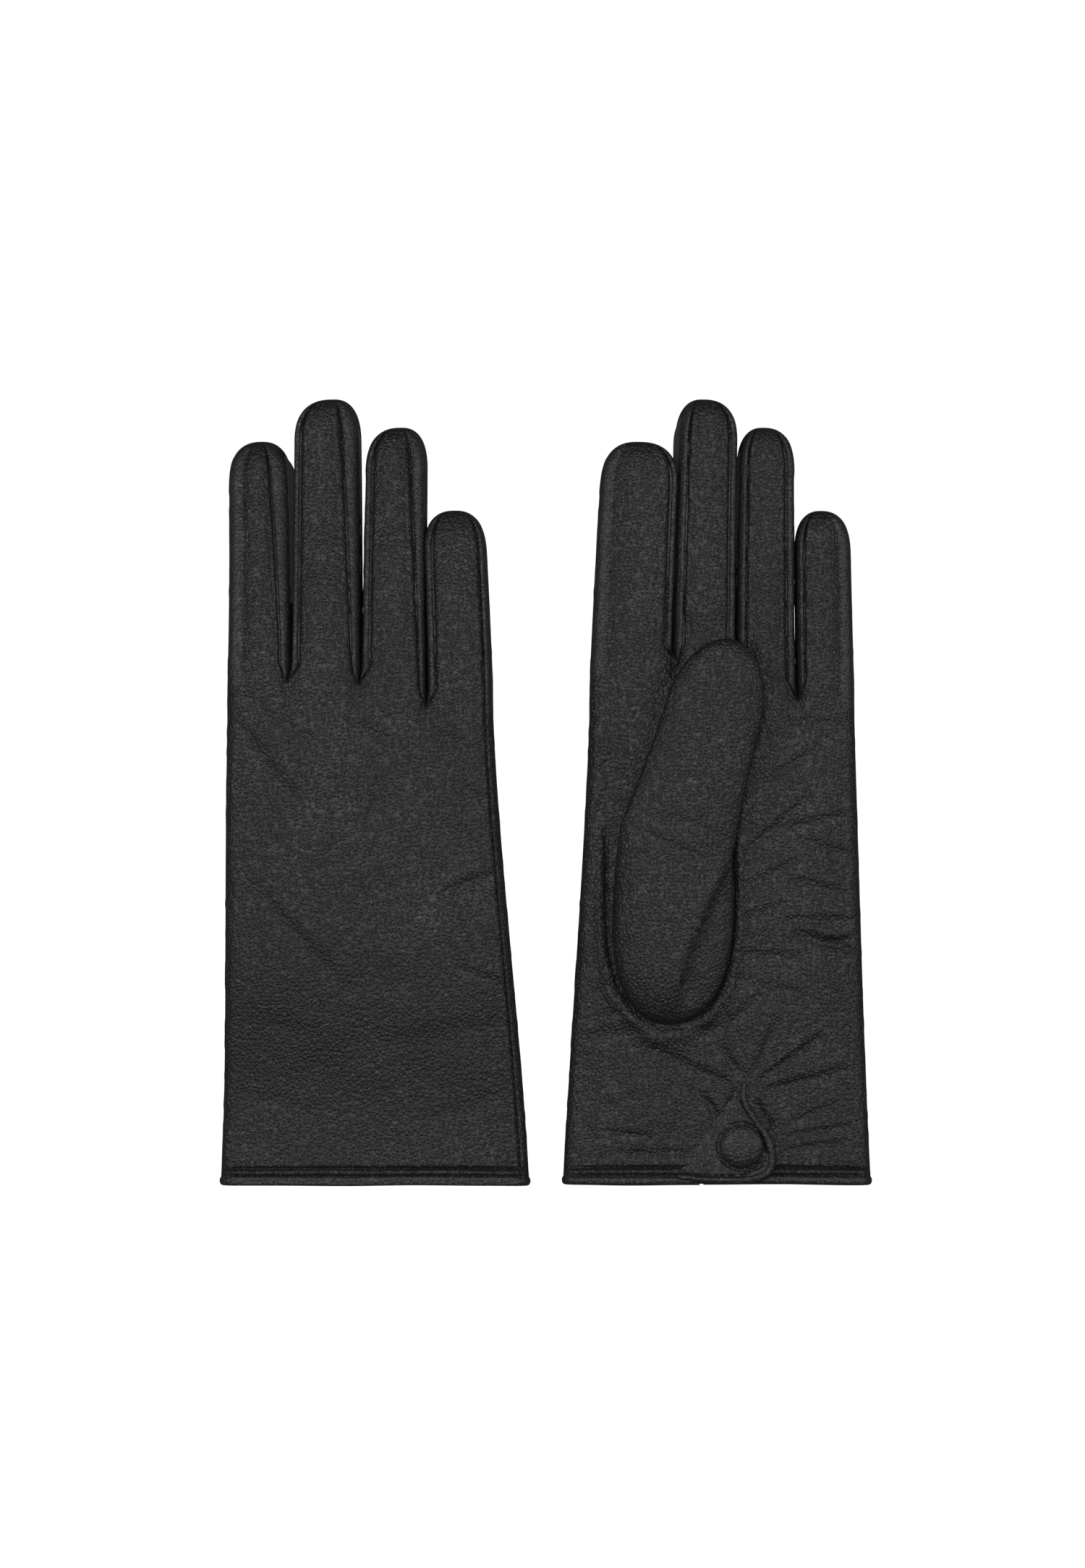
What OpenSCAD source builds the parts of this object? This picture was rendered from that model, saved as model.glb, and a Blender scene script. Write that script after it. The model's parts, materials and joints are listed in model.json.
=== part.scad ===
// A pair of lined leather dress gloves, laid side by side on a table.
// The left glove lies palm up with its thumb folded over the palm. The right
// one lies palm down on its own thumb and snap, so its cuff and its fingertips
// droop to the table.
// Glove coordinates: x across (little finger at +x), y from the cuff's edge to
// the fingertips, z from the back of the hand up to the palm and the thumb.

/* [Pair] */
// Distance between the two gloves' centre lines at the cuff
pair_pitch = 108.8; // [104:0.2:150]
// How far the left glove's fingers lean sideways
left_lean = 1.6; // [-8:0.1:8]
// How far the right glove's fingers lean sideways
right_lean = -4.6; // [-8:0.1:8]

/* [Hand] */
// Length from the cuff's edge to the line where the fingers start
hand_len = 158; // [146:1:190]
// Width of the cuff's leather, laid flat
cuff_w = 98.2; // [88:0.1:102]
// Length over which the cuff's flare runs out
flare_len = 150; // [120:1:156]
// Thickness of the laid hand and fingers
hand_t = 11; // [10.5:0.1:13.5]
// Thickness of the laid cuff
cuff_t = 9.6; // [9:0.1:10.4]

/* [Fingers] */
// Widths of the index, middle, ring and little fingers, which make up the palm
finger_w = [23.2, 21.4, 20.1, 19.7]; // [14:0.1:28]
// Lengths of the fingers below their creases
finger_base_len = [36, 42, 37, 22]; // [18:0.5:50]
// Lengths of the fingers beyond their creases
finger_end_len = [42.5, 50, 46, 34.5]; // [28:0.5:60]
// Gap between neighbouring fingers
finger_gap = 0.6; // [0.6:0.1:1.5]
// Share by which the fingers draw together over 100 mm
finger_taper = 0.08; // [0:0.01:0.12]
// Corner radius of a finger's section
finger_r = 4; // [3:0.1:5]
// Half width of a fingertip's blunt end
tip_half_w = 4.2; // [3:0.1:6]
// Length over which a finger narrows to its tip
tip_len = 15; // [10:0.5:18]

/* [Thumb] */
// Thickness of the folded thumb
thumb_t = 9; // [8.5:0.1:12]
// Half width of the thumb at its crease
thumb_half_w = 18.6; // [15:0.1:20]
// Half width of the thumb where its tip starts to narrow
thumb_end_half_w = 15.8; // [11:0.1:17]
// Length over which the thumb narrows to its tip
thumb_tip_len = 26; // [20:0.5:30]
// Length of the thumb beyond its crease
thumb_len = 67; // [48:0.5:68]
// Length of the sewn thumb base below the crease
thumb_base_len = 58; // [46:0.5:60]
// Lean of the thumb towards the little finger, in degrees
thumb_lean = 15.8; // [8:0.1:20]
// Length below the crease over which the thumb's lean begins
thumb_turn_len = 24; // [18:1:40]
// Place of the thumb's crease, across the hand and down from where the fingers start
thumb_at = [-14.4, -48.7]; // [-56:0.1:0]

/* [Leather and lining] */
// Thickness of the glove leather
leather_t = 0.8; // [0.6:0.05:1.1]
// Thickness of the knitted lining
lining_t = 0.6; // [0.4:0.05:0.9]
// Room between leather and lining
lining_gap = 0.6; // [0.55:0.05:0.9]
// Height of the rolled binding at the cuff
binding_h = 2.4; // [2:0.1:3.5]
// How far the binding stands proud of the leather
binding_proud = 0.5; // [0.2:0.05:0.7]
// Gap left where a crease lets a finger or thumb bend
crease_gap = 0.6; // [0.4:0.1:1]

/* [Vent and snap] */
// Place of the vent's upper end, across and up from the cuff's edge
vent_top = [8.7, 34]; // [0:0.1:44]
// Place of the snap's axis
snap_at = [7.6, 12.4]; // [4:0.1:16]
// Where the flap's fold ends at the cuff, across the hand
fold_foot_x = -13; // [-18:0.5:-10]
// Width of the slit at the cuff's edge
slit_w = 5; // [3:0.5:7]
// Distance from the flap's fold to its free edge beside the snap
flap_reach = 23.5; // [21:0.5:24]
// Radius of the vent's piped edge
piping_r = 1.1; // [0.8:0.05:1.3]
// Radius of the covered button
button_r = 6.9; // [5:0.1:7.5]
// Height of the covered button's rim
rim_h = 0.9; // [0.6:0.1:1.4]
// Height of the button's dome above its rim
dome_h = 1.6; // [0.8:0.1:2.4]
// Room between the palm and the flap at the snap
snap_stack = 1.9; // [1.8:0.05:2.6]
// Radius of the snap's metal parts
snap_r = 4.2; // [3.6:0.1:5]
// Thickness of the snap's metal
snap_metal = 0.35; // [0.25:0.05:0.45]
// Radius of the stud's post
post_r = 1.6; // [1.4:0.05:1.9]
// Room around the post in the socket
post_room = 0.45; // [0.35:0.05:0.7]
// Radius of the rivets through the leather
rivet_r = 1.1; // [0.9:0.05:1.2]

/* [Hidden] */
FINGERS = ["index", "middle", "ring", "little"];
PIECES = [
    "trank", "lower_fourchettes", "hand_lining", "thumb_base", "cuff_binding", "snap_stud", "stud_washer",
    "index_panels", "index_fourchettes", "index_lining",
    "middle_panels", "middle_fourchettes", "middle_lining",
    "ring_panels", "ring_fourchettes", "ring_lining",
    "little_panels", "little_fourchettes", "little_lining",
    "thumb_leather", "thumb_lining", "vent_flap", "vent_piping", "button_cover", "snap_socket"];
LEFT = 1; // lies palm up
RIGHT = -1; // lies palm down
black = [0.05, 0.05, 0.05];
charcoal = [0.13, 0.13, 0.14];
steel = [0.6, 0.6, 0.58];
rest_gap = 0.3; // between leather that lies on leather without being sewn to it
hair = 0.05; // round a rivet in its hole, and between a flap's edge and its piping
hole_steps = 18; // degrees between the points of the way into the thumb
tip_slit = 0.1; // half of what the end of a finger leaves open
tip_round = 9; // length over which a tip's top and bottom meet
arc_steps = 4; // steps in a section's corner

palm_w = finger_w[0] + finger_w[1] + finger_w[2] + finger_w[3];
finger_len = finger_base_len + finger_end_len;
total_len = hand_len + max(finger_len);
pair_h = hand_t + thumb_t;
lining_out = leather_t + lining_gap;
lining_in = lining_out + lining_t;
vent_y = vent_top[1];
thumb_y = hand_len + thumb_at[1];
flap_under = cuff_t + snap_stack;
button_base = flap_under + leather_t;
cuff_droop = pair_h - button_base - rim_h - dome_h;
// Heights where the right glove droops from its thumb to its snap, and to the fingertips
cuff_droop_y = [vent_y + 2, vent_y + 22];
tip_droop_y = [hand_len + 8, hand_len + 84];

function ease(t) = let (u = min(1, max(0, t))) u * u * (3 - 2 * u);
function between(span, y) = ease((y - span[0]) / (span[1] - span[0]));
function finger_edge(k) = k == 0 ? -palm_w / 2 : finger_edge(k - 1) + finger_w[k - 1];
function crease_y(k) = hand_len + finger_base_len[k];
function tip_y(k) = hand_len + finger_len[k];

// Glove coordinates to the pair's own frame
function droop(y) = cuff_droop * (1 - between(cuff_droop_y, y)) + thumb_t * between(tip_droop_y, y);
function lean(y, side) = (side == LEFT ? left_lean : right_lean) * between([0, hand_len], y);
function lay(p, side) = [
    p[0] + lean(p[1], side) + side * pair_pitch / 2,
    p[1] - total_len / 2,
    side == LEFT ? p[2] : pair_h - p[2] - droop(p[1])];
// Puts a rigid piece at a point of the glove, upside down on the right glove
module at(side, p) {
    translate(lay(p, side)) mirror([0, 0, side == LEFT ? 0 : 1]) children();
}

// A rounded rectangle's points as [across, up], a corner at a time from +x
function rounded(a, b, r) = [for (q = [0 : 3]) for (k = [0 : arc_steps])
    let (angle = 90 * (q + k / arc_steps), sx = (q == 0 || q == 3) ? 1 : -1, sz = q < 2 ? 1 : -1)
    [sx * (a - r) + r * cos(angle), sz * (b - r) + r * sin(angle)]];
section_n = 4 * (arc_steps + 1);
// The section's points where seams run: the middle of each corner
seam = [for (q = [0 : 3]) q * (arc_steps + 1) + arc_steps / 2];

// Half width at a distance d from a tip, and half height
function narrowed(d, length, blunt, full, power) =
    d >= length ? full : blunt + (full - blunt) * pow(max(0, d) / length, power);
function half_height(d, full) = let (end = leather_t + tip_slit)
    d >= tip_round ? full : end + (full - end) * sqrt(max(0, 1 - pow(1 - d / tip_round, 2)));

// Sections of the hand, of finger k and of the thumb, drawn in by inset. The
// hand lies flat, so a negative inset doesn't reach below its back.
function hand_row(y, inset) = let (
        a = palm_w / 2 + (cuff_w - palm_w) / 2 * pow(max(0, 1 - y / flare_len), 1.15) - inset,
        b = (cuff_t + (hand_t - cuff_t) * between([vent_y + 2, vent_y + 14], y)) / 2)
    [for (p = rounded(a, b - inset, b - inset)) [p[0], y, max(0, b + p[1])]];
function finger_row(k, y, inset) = let (
        d = tip_y(k) - y,
        a = narrowed(d, tip_len, tip_half_w, (finger_w[k] - finger_gap) / 2, 0.65),
        b = half_height(d, hand_t / 2),
        draw = 1 - finger_taper * (y - hand_len) / 100,
        centre = finger_edge(k) + finger_w[k] / 2)
    [for (p = rounded(a - inset, b - inset, min(finger_r, a, b) - inset))
        [draw * (centre + p[0]), y, hand_t / 2 + p[1]]];
// The thumb's points: s along it from its crease, w across it
thumb_along = [sin(thumb_lean), cos(thumb_lean)];
thumb_across = [cos(thumb_lean), -sin(thumb_lean)];
function thumb_point(s, w, z) =
    let (p = [thumb_at[0], thumb_y] + s * thumb_along + w * thumb_across) [p[0], p[1], z];
// A point of its sewn base, which runs straight up the hand and turns at the crease
function base_point(s, w, z) =
    let (turn = thumb_lean * ease(1 + s / thumb_turn_len))
    [thumb_at[0] + w * cos(turn), thumb_y + s - w * sin(turn), z];
function thumb_row(s, inset) = let (
        d = thumb_len - s,
        tube = thumb_len - thumb_tip_len,
        wide = thumb_end_half_w + (thumb_half_w - thumb_end_half_w) * max(0, 1 - s / tube),
        a = narrowed(d, thumb_tip_len, tip_half_w, wide, 0.6),
        b = half_height(d, (thumb_t - rest_gap) / 2),
        middle = hand_t + (thumb_t + rest_gap) / 2)
    [for (p = rounded(a - inset, b - inset, min(finger_r, a, b) - inset))
        thumb_point(s, p[0], middle + p[1])];
// An arch of the thumb's base, its two feet on the palm
function base_row(s, inset) = let (
        u = -s / thumb_base_len,
        foot = leather_t / 8,
        a = tip_half_w + (thumb_half_w + leather_t - tip_half_w) * pow(1 - pow(u, 3), 1 / 3),
        h = 2 * leather_t + (thumb_t - 2 * leather_t) * sqrt(1 - u * u),
        arch = rounded(a - inset, h - inset, min(finger_r, a, h) - inset))
    concat([base_point(s, a - inset, hand_t)],
        [for (i = [0 : section_n / 2 - 1]) base_point(s, arch[i][0], hand_t + max(arch[i][1], foot))],
        [base_point(s, inset - a, hand_t)]);

// The same faces seen from behind, for a glove that lies the other way up
function turned(faces) = [for (f = faces) [for (i = [len(f) - 1 : -1 : 0]) f[i]]];
// A sheet between an outer and an inner grid of points. tube joins its long
// edges, and closed puts an end on the tube's last row.
module sheet(side, outer, inner, tube = false, closed = false) {
    cols = len(outer[0]);
    top = len(outer) - 1;
    base = (top + 1) * cols;
    last = tube ? cols - 1 : cols - 2;
    function at(r, c) = r * cols + c % cols;
    function quad(a, b, c, d) = [[a, b, c], [a, c, d]];
    quads = concat(
        [for (r = [0 : top - 1]) for (c = [0 : last])
            quad(at(r, c), at(r, c + 1), at(r + 1, c + 1), at(r + 1, c))],
        [for (r = [0 : top - 1]) for (c = [0 : last])
            quad(base + at(r, c), base + at(r + 1, c), base + at(r + 1, c + 1), base + at(r, c + 1))],
        [for (c = [0 : last]) quad(at(0, c), base + at(0, c), base + at(0, c + 1), at(0, c + 1))],
        closed ? [] : [for (c = [0 : last])
            quad(at(top, c), at(top, c + 1), base + at(top, c + 1), base + at(top, c))],
        tube ? [] : [for (r = [0 : top - 1]) for (c = [0, cols - 1]) let (n = c == 0 ? 1 : 0)
            quad(at(r + 1 - n, c), at(r + n, c), base + at(r + n, c), base + at(r + 1 - n, c))]);
    ends = closed ? [[for (c = [0 : last]) at(top, c)], [for (c = [last : -1 : 0]) base + at(top, c)]] : [];
    faces = concat([for (q = quads) for (f = q) f], ends);
    points = [for (grid = [outer, inner]) for (row = grid) for (p = row) lay(p, side)];
    polyhedron(points, side == LEFT ? faces : turned(faces));
}
// Points i0 to i1 of a section, counted on past its last point
function part(row, i0, i1) = [for (i = [i0 : i1]) row[(i + len(row)) % len(row)]];

// Heights of the sections: evenly up the hand, then up each finger's two lengths
hand_ys = concat([for (t = [0, 0.35, 0.7]) binding_h + t * (cuff_droop_y[0] - binding_h)],
    [for (t = [0, 0.3, 0.6, 0.8, 1]) cuff_droop_y[0] + t * (cuff_droop_y[1] - cuff_droop_y[0])],
    [for (t = [0.2 : 0.2 : 1.01]) cuff_droop_y[1] + t * (hand_len - cuff_droop_y[1])]);
function finger_base_ys(k) = let (end = crease_y(k) - crease_gap / 2)
    concat([hand_len], [for (y = [hand_len + 10 : 11 : end - 6]) y], [end]);
function finger_end_ys(k) = let (start = crease_y(k) + crease_gap / 2, tip = tip_y(k))
    concat([start], [for (y = [start + 9 : 9 : tip - tip_len - 4]) y],
        [for (t = [1, 0.68, 0.44, 0.24, 0.08, 0]) tip - t * tip_len]);
// The lining's own heights stop short of the tip, its inner ones by its thickness too
function lining_ys(k, back) = concat([for (y = finger_end_ys(k)) if (y < tip_y(k) - lining_in - 3) y],
    [tip_y(k) - lining_in - 1 - back]);

module finger_strip(side, k, ys, i0, i1) {
    sheet(side,
        [for (y = ys) part(finger_row(k, y, 0), i0, i1)],
        [for (y = ys) part(finger_row(k, y, leather_t), i0, i1)]);
}
// Panels of the trank: the index and little fingers' outer sides fold round
// without a seam on the outside of the hand
module finger_panels(side, k, ys) {
    if (k == 0) finger_strip(side, k, ys, seam[0], seam[3]);
    if (k > 0) finger_strip(side, k, ys, k == 3 ? seam[3] - section_n : seam[0], seam[1]);
    if (k > 0) finger_strip(side, k, ys, seam[2], seam[3]);
}
module finger_fourchettes(side, k, ys) {
    if (k > 0) finger_strip(side, k, ys, seam[1], seam[2]);
    if (k < 3) finger_strip(side, k, ys, seam[3] - section_n, seam[0]);
}
module finger_lining(side, k) {
    color(charcoal) sheet(side,
        [for (y = lining_ys(k, 0)) finger_row(k, y, lining_out)],
        [for (y = lining_ys(k, lining_t)) finger_row(k, y, lining_in)], tube = true, closed = true);
}

// Cuts through the palm side only: the vent's slit, and the way into the thumb
module vent_slit(side) {
    at(side, [0, 0, hand_t / 2]) linear_extrude(hand_t) polygon([vent_top,
        [vent_top[0] - snap_r * 2 - slit_w - 2, -1], [vent_top[0] - snap_r * 2 - 2, -1]]);
}
module thumb_way(side) {
    way = [thumb_half_w * 0.6, thumb_base_len * 0.36];
    at(side, [thumb_at[0], thumb_y - way[1] - 2, hand_t / 2]) linear_extrude(hand_t)
        polygon([for (a = [0 : hole_steps : 359]) [way[0] * sin(a), way[1] * cos(a)]]);
}
module trank(side) {
    color(black) {
        difference() {
            sheet(side,
                [for (y = hand_ys) hand_row(y, 0)],
                [for (y = hand_ys) hand_row(y, leather_t)], tube = true);
            vent_slit(side);
            thumb_way(side);
            at(side, [snap_at[0], snap_at[1], cuff_t - 2]) cylinder(r = rivet_r + hair, h = 3, $fn = 48);
        }
        for (k = [0 : 3]) finger_panels(side, k, finger_base_ys(k));
    }
}
module lower_fourchettes(side) {
    color(black) for (k = [0 : 3]) finger_fourchettes(side, k, finger_base_ys(k));
}
module hand_lining(side) {
    color(charcoal) {
        difference() {
            sheet(side,
                [for (y = hand_ys) hand_row(y, lining_out)],
                [for (y = hand_ys) hand_row(y, lining_in)], tube = true);
            vent_slit(side);
            thumb_way(side);
        }
        for (k = [0 : 3]) sheet(side,
            [for (y = finger_base_ys(k)) finger_row(k, y, lining_out)],
            [for (y = finger_base_ys(k)) finger_row(k, y, lining_in)], tube = true);
    }
}
module cuff_binding(side) {
    ys = [0, binding_h];
    color(black) difference() {
        sheet(side,
            [for (y = ys) hand_row(y, -binding_proud)],
            [for (y = ys) hand_row(y, lining_in)], tube = true);
        vent_slit(side);
    }
}

// The thumb: a base sewn round the way in, and a tube beyond the crease
module thumb_base(side) {
    ss = concat([for (t = [1, 0.95, 0.86, 0.72, 0.57, 0.42, 0.28, 0.13]) -t * thumb_base_len],
        [-crease_gap / 2]);
    color(black) sheet(side, [for (s = ss) base_row(s, 0)], [for (s = ss) base_row(s, leather_t)]);
}
function thumb_ss() = concat([for (t = [0, 0.33, 0.67]) crease_gap / 2 + t * (thumb_len - thumb_tip_len)],
    [for (t = [1, 0.73, 0.5, 0.31, 0.16, 0.06, 0]) thumb_len - t * thumb_tip_len]);
module thumb_leather(side) {
    color(black) sheet(side,
        [for (s = thumb_ss()) thumb_row(s, 0)],
        [for (s = thumb_ss()) thumb_row(s, leather_t)], tube = true);
}
function thumb_lining_ss(back) = concat([for (s = thumb_ss()) if (s < thumb_len - lining_in - 4) s],
    [thumb_len - lining_in - 2 - back]);
module thumb_lining(side) {
    color(charcoal) sheet(side,
        [for (s = thumb_lining_ss(0)) thumb_row(s, lining_out)],
        [for (s = thumb_lining_ss(lining_t)) thumb_row(s, lining_in)], tube = true, closed = true);
}

// The vent's flap folds on a slanting line. Its points: out from the fold, and
// along it from the vent's upper end.
fold_vector = [fold_foot_x, binding_h + 0.3] - vent_top;
fold_len = norm(fold_vector);
fold_along = fold_vector / fold_len;
fold_out = [-fold_along[1], fold_along[0]];
fold_rise = 4.5; // distance over which the flap climbs onto the snap
snap_along = (snap_at - vent_top) * fold_along;
function flap_point(out, along, z) =
    let (p = vent_top + along * fold_along + out * fold_out) [p[0], p[1], z];
function flap_z(out) = cuff_t + rest_gap + (snap_stack - rest_gap) * ease(out / fold_rise);
least_reach = piping_r * 2.2; // from the fold to the piping at the flap's two ends
function reach(along) = let (
        v = along < snap_along ? along / snap_along : (fold_len - along) / (fold_len - snap_along))
    least_reach + (flap_reach - least_reach) * pow(sin(90 * v), 1.2);
flap_alongs = [for (t = [0.03, 0.09, 0.17, 0.27, 0.37, 0.48, 0.59, 0.7, 0.8, 0.89, 0.97]) t * fold_len];
flap_last = len(flap_alongs) - 1;
// Direction of the flap's free edge at row i, as [out, along]
function edge_way(i) = let (
        a = flap_alongs[max(0, i - 1)],
        b = flap_alongs[min(flap_last, i + 1)])
    [reach(b) - reach(a), b - a] / norm([reach(b) - reach(a), b - a]);
function flap_row(i, up) = let (edge = reach(flap_alongs[i]) - piping_r / edge_way(i)[1])
    [for (t = [0, 0.12, 0.25, 0.4, 0.7, 1]) flap_point(t * edge, flap_alongs[i], flap_z(t * edge) + up)];
module vent_flap(side) {
    color(black) difference() {
        sheet(side,
            [for (i = [0 : flap_last]) flap_row(i, leather_t)],
            [for (i = [0 : flap_last]) flap_row(i, 0)]);
        at(side, [snap_at[0], snap_at[1], flap_under - 1]) cylinder(r = rivet_r + hair, h = 3, $fn = 48);
    }
}
// Piping round the flap's free edge, eight-sided, clear of the edge by a hair
piping_n = 8;
function piping_row(i) = let (
        s = flap_alongs[i],
        way = edge_way(i),
        out = reach(s) + hair)
    [for (k = [0 : piping_n - 1]) let (
            w = piping_r * cos(360 * k / piping_n),
            up = piping_r * sin(360 * k / piping_n))
        flap_point(out + w * way[1], s - w * way[0], flap_z(out) + leather_t / 2 + up)];
module vent_piping(side) {
    n = piping_n;
    top = flap_last;
    points = [for (i = [0 : top]) for (p = piping_row(i)) lay(p, side)];
    function side_face(r, c, up) = up
        ? [r * n + c, (r + 1) * n + (c + 1) % n, (r + 1) * n + c]
        : [r * n + c, r * n + (c + 1) % n, (r + 1) * n + (c + 1) % n];
    faces = concat(
        [for (r = [0 : top - 1]) for (c = [0 : n - 1]) for (up = [false, true]) side_face(r, c, up)],
        [[for (c = [n - 1 : -1 : 0]) c], [for (c = [0 : n - 1]) top * n + c]]);
    color(black) polyhedron(points, side == RIGHT ? faces : turned(faces));
}

// The snap: on the flap a covered button riveted to a socket, below it a stud
socket_h = snap_stack - snap_metal - 0.3;
module button_cover(side) {
    dome_r = (button_r * button_r + dome_h * dome_h) / (2 * dome_h);
    rivet_end = -leather_t - snap_metal + hair;
    color(black) at(side, [snap_at[0], snap_at[1], button_base]) rotate_extrude($fn = 96)
        polygon(concat(
            [[0, rivet_end], [rivet_r, rivet_end], [rivet_r, 0], [button_r - 0.6, 0], [button_r, 0.4]],
            [for (i = [0 : 7]) let (r = button_r * (1 - i / 7))
                [r, rim_h + dome_h - dome_r + sqrt(dome_r * dome_r - r * r)]]));
}
module snap_socket(side) {
    color(steel) at(side, [snap_at[0], snap_at[1], flap_under - socket_h]) difference() {
        cylinder(r = snap_r, h = socket_h, $fn = 96);
        translate([0, 0, -1]) cylinder(r = post_r + post_room, h = 1 + socket_h - snap_metal, $fn = 96);
        cylinder(r = rivet_r + hair, h = socket_h + 1, $fn = 48);
    }
}
module snap_stud(side) {
    rivet_len = leather_t + snap_metal - hair;
    color(steel) at(side, [snap_at[0], snap_at[1], cuff_t]) {
        cylinder(r = snap_r, h = snap_metal - 0.1, $fn = 96);
        cylinder(r = post_r, h = snap_metal + 0.55, $fn = 96);
        translate([0, 0, -rivet_len]) cylinder(r = rivet_r, h = rivet_len + 0.1, $fn = 48);
    }
}
module stud_washer(side) {
    color(steel) at(side, [snap_at[0], snap_at[1], cuff_t - leather_t - snap_metal]) difference() {
        cylinder(r = snap_r, h = snap_metal, $fn = 96);
        translate([0, 0, -1]) cylinder(r = rivet_r + hair, h = 3, $fn = 48);
    }
}

for (hand = ["left", "right"]) {
    side = hand == "left" ? LEFT : RIGHT;
    trank(side);
    lower_fourchettes(side);
    hand_lining(side);
    thumb_base(side);
    cuff_binding(side);
    snap_stud(side);
    stud_washer(side);
    for (k = [0 : 3]) {
        finger = str(hand, "_", FINGERS[k]);
        color(black) finger_panels(side, k, finger_end_ys(k));
        color(black) finger_fourchettes(side, k, finger_end_ys(k));
        finger_lining(side, k);
    }
    thumb_leather(side);
    thumb_lining(side);
    vent_flap(side);
    vent_piping(side);
    button_cover(side);
    snap_socket(side);
}
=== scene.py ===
"""A pair of lined leather dress gloves, laid side by side: the left one palm up,
the right one palm down.

Glove coordinates are in millimetres: x across with the little finger at +x, y from
the cuff's edge to the fingertips, z from the back of the hand up to the palm and
the thumb. place() takes them to the shared frame, in metres.
"""

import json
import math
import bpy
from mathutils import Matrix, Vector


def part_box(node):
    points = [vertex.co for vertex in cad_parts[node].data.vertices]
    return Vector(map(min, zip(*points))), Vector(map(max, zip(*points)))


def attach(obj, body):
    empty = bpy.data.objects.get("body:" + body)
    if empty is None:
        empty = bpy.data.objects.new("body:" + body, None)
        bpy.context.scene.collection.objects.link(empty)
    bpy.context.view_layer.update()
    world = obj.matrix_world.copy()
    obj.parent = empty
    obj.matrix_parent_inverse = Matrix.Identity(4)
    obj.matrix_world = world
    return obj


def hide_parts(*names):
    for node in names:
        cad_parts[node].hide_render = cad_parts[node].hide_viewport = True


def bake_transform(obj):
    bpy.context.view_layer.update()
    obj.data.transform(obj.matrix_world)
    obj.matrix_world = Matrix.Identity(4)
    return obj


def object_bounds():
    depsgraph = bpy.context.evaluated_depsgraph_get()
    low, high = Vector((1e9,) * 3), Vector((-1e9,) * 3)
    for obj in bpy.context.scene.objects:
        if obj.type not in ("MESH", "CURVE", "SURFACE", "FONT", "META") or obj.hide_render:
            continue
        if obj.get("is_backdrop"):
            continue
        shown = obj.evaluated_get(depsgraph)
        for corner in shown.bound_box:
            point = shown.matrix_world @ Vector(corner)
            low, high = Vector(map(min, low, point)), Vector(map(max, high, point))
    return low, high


bl_info = {
    "name": "Leather Dress Gloves",
    "version": (1, 0, 0),
    "blender": (4, 5, 0),
    "location": "View3D > Sidebar > Gloves",
    "description": "Makes the leather, linings, hems and snaps of a pair of gloves round a packed frame",
    "category": "Add Mesh",
}

import bpy
import bmesh
import numpy as np
from mathutils import Vector

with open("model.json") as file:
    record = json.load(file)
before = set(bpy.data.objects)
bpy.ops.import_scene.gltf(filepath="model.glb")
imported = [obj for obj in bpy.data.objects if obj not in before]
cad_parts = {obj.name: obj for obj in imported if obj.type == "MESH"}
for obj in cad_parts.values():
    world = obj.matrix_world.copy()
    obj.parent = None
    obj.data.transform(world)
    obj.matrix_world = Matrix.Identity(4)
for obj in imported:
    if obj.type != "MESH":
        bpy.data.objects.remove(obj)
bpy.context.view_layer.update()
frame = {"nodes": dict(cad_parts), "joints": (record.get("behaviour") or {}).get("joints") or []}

MM = 0.001
HANDS = ("left", "right")
FINGERS = ("index", "middle", "ring", "little")
LEFT, RIGHT = 1, -1


# ---------------------------------------------------------------- shape helpers
def ease(t):
    """Zero below 0, one above 1, and t squared times (3 - 2 t) between."""
    t = np.clip(t, 0.0, 1.0)
    return t * t * (3 - 2 * t)


def between(a, b, y):
    """ease() of y from a to b."""
    return ease((np.asarray(y, float) - a) / (b - a))


def bell(d, width):
    """A bell curve of height one: e to the minus (d / width) squared."""
    return np.exp(-((d / width) ** 2))


def mix(a, b, t):
    """a at t = 0 and b at t = 1, in a straight line."""
    return a + (b - a) * t


def ripple(x, y, cell, seed):
    """Smooth hills of height -1 to 1: random heights at the corners of square cells,
    joined inside each cell with ease() along both sides."""
    table = np.random.default_rng(seed).uniform(-1, 1, (61, 61))
    gx, gy = np.asarray(x) / cell, np.asarray(y) / cell
    ix, iy = np.floor(gx).astype(int), np.floor(gy).astype(int)
    fx, fy = ease(gx - ix), ease(gy - iy)
    at = lambda i, j: table[i % 61, j % 61]
    return mix(mix(at(ix, iy), at(ix + 1, iy), fx), mix(at(ix, iy + 1), at(ix + 1, iy + 1), fx), fy)


def crease(x, y, a, b, width, depth):
    """A groove along the line from a to b: depth times a bell across the line, fading
    to nothing at both ends as the square root of a half circle."""
    ax, ay = a
    dx, dy = b[0] - ax, b[1] - ay
    length = math.hypot(dx, dy)
    along = ((x - ax) * dx + (y - ay) * dy) / length ** 2
    across = ((x - ax) * dy - (y - ay) * dx) / length
    fade = np.sqrt(np.clip(1 - (2 * along - 1) ** 2, 0, 1))
    return -depth * fade * bell(across, width)


def corner(theta, power=2.3):
    """A rounded corner's two parts at an angle theta: cos and sin to the power 2 / power."""
    return np.cos(theta) ** (2 / power), np.sin(theta) ** (2 / power)


# ------------------------------------------------------------------- the gloves
PALM_EDGES = np.array([-42.2, -19.0, 2.4, 22.5, 42.2])
HAND_LEN = 158.0
HAND_T, CUFF_T, THUMB_T = 11.0, 9.6, 9.0
PAIR_H = 20.0
LINING, LINING_GAP = 0.6, 0.6
HEM_H = 2.4
HEM_LINES = (3.1, 5.5)
PALM_HALF = 42.2
VENT_TOP = np.array([8.7, 34.0])
SNAP_AT = np.array([7.6, 12.4])
FOLD_FOOT = np.array([-13.0, 2.7])


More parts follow.
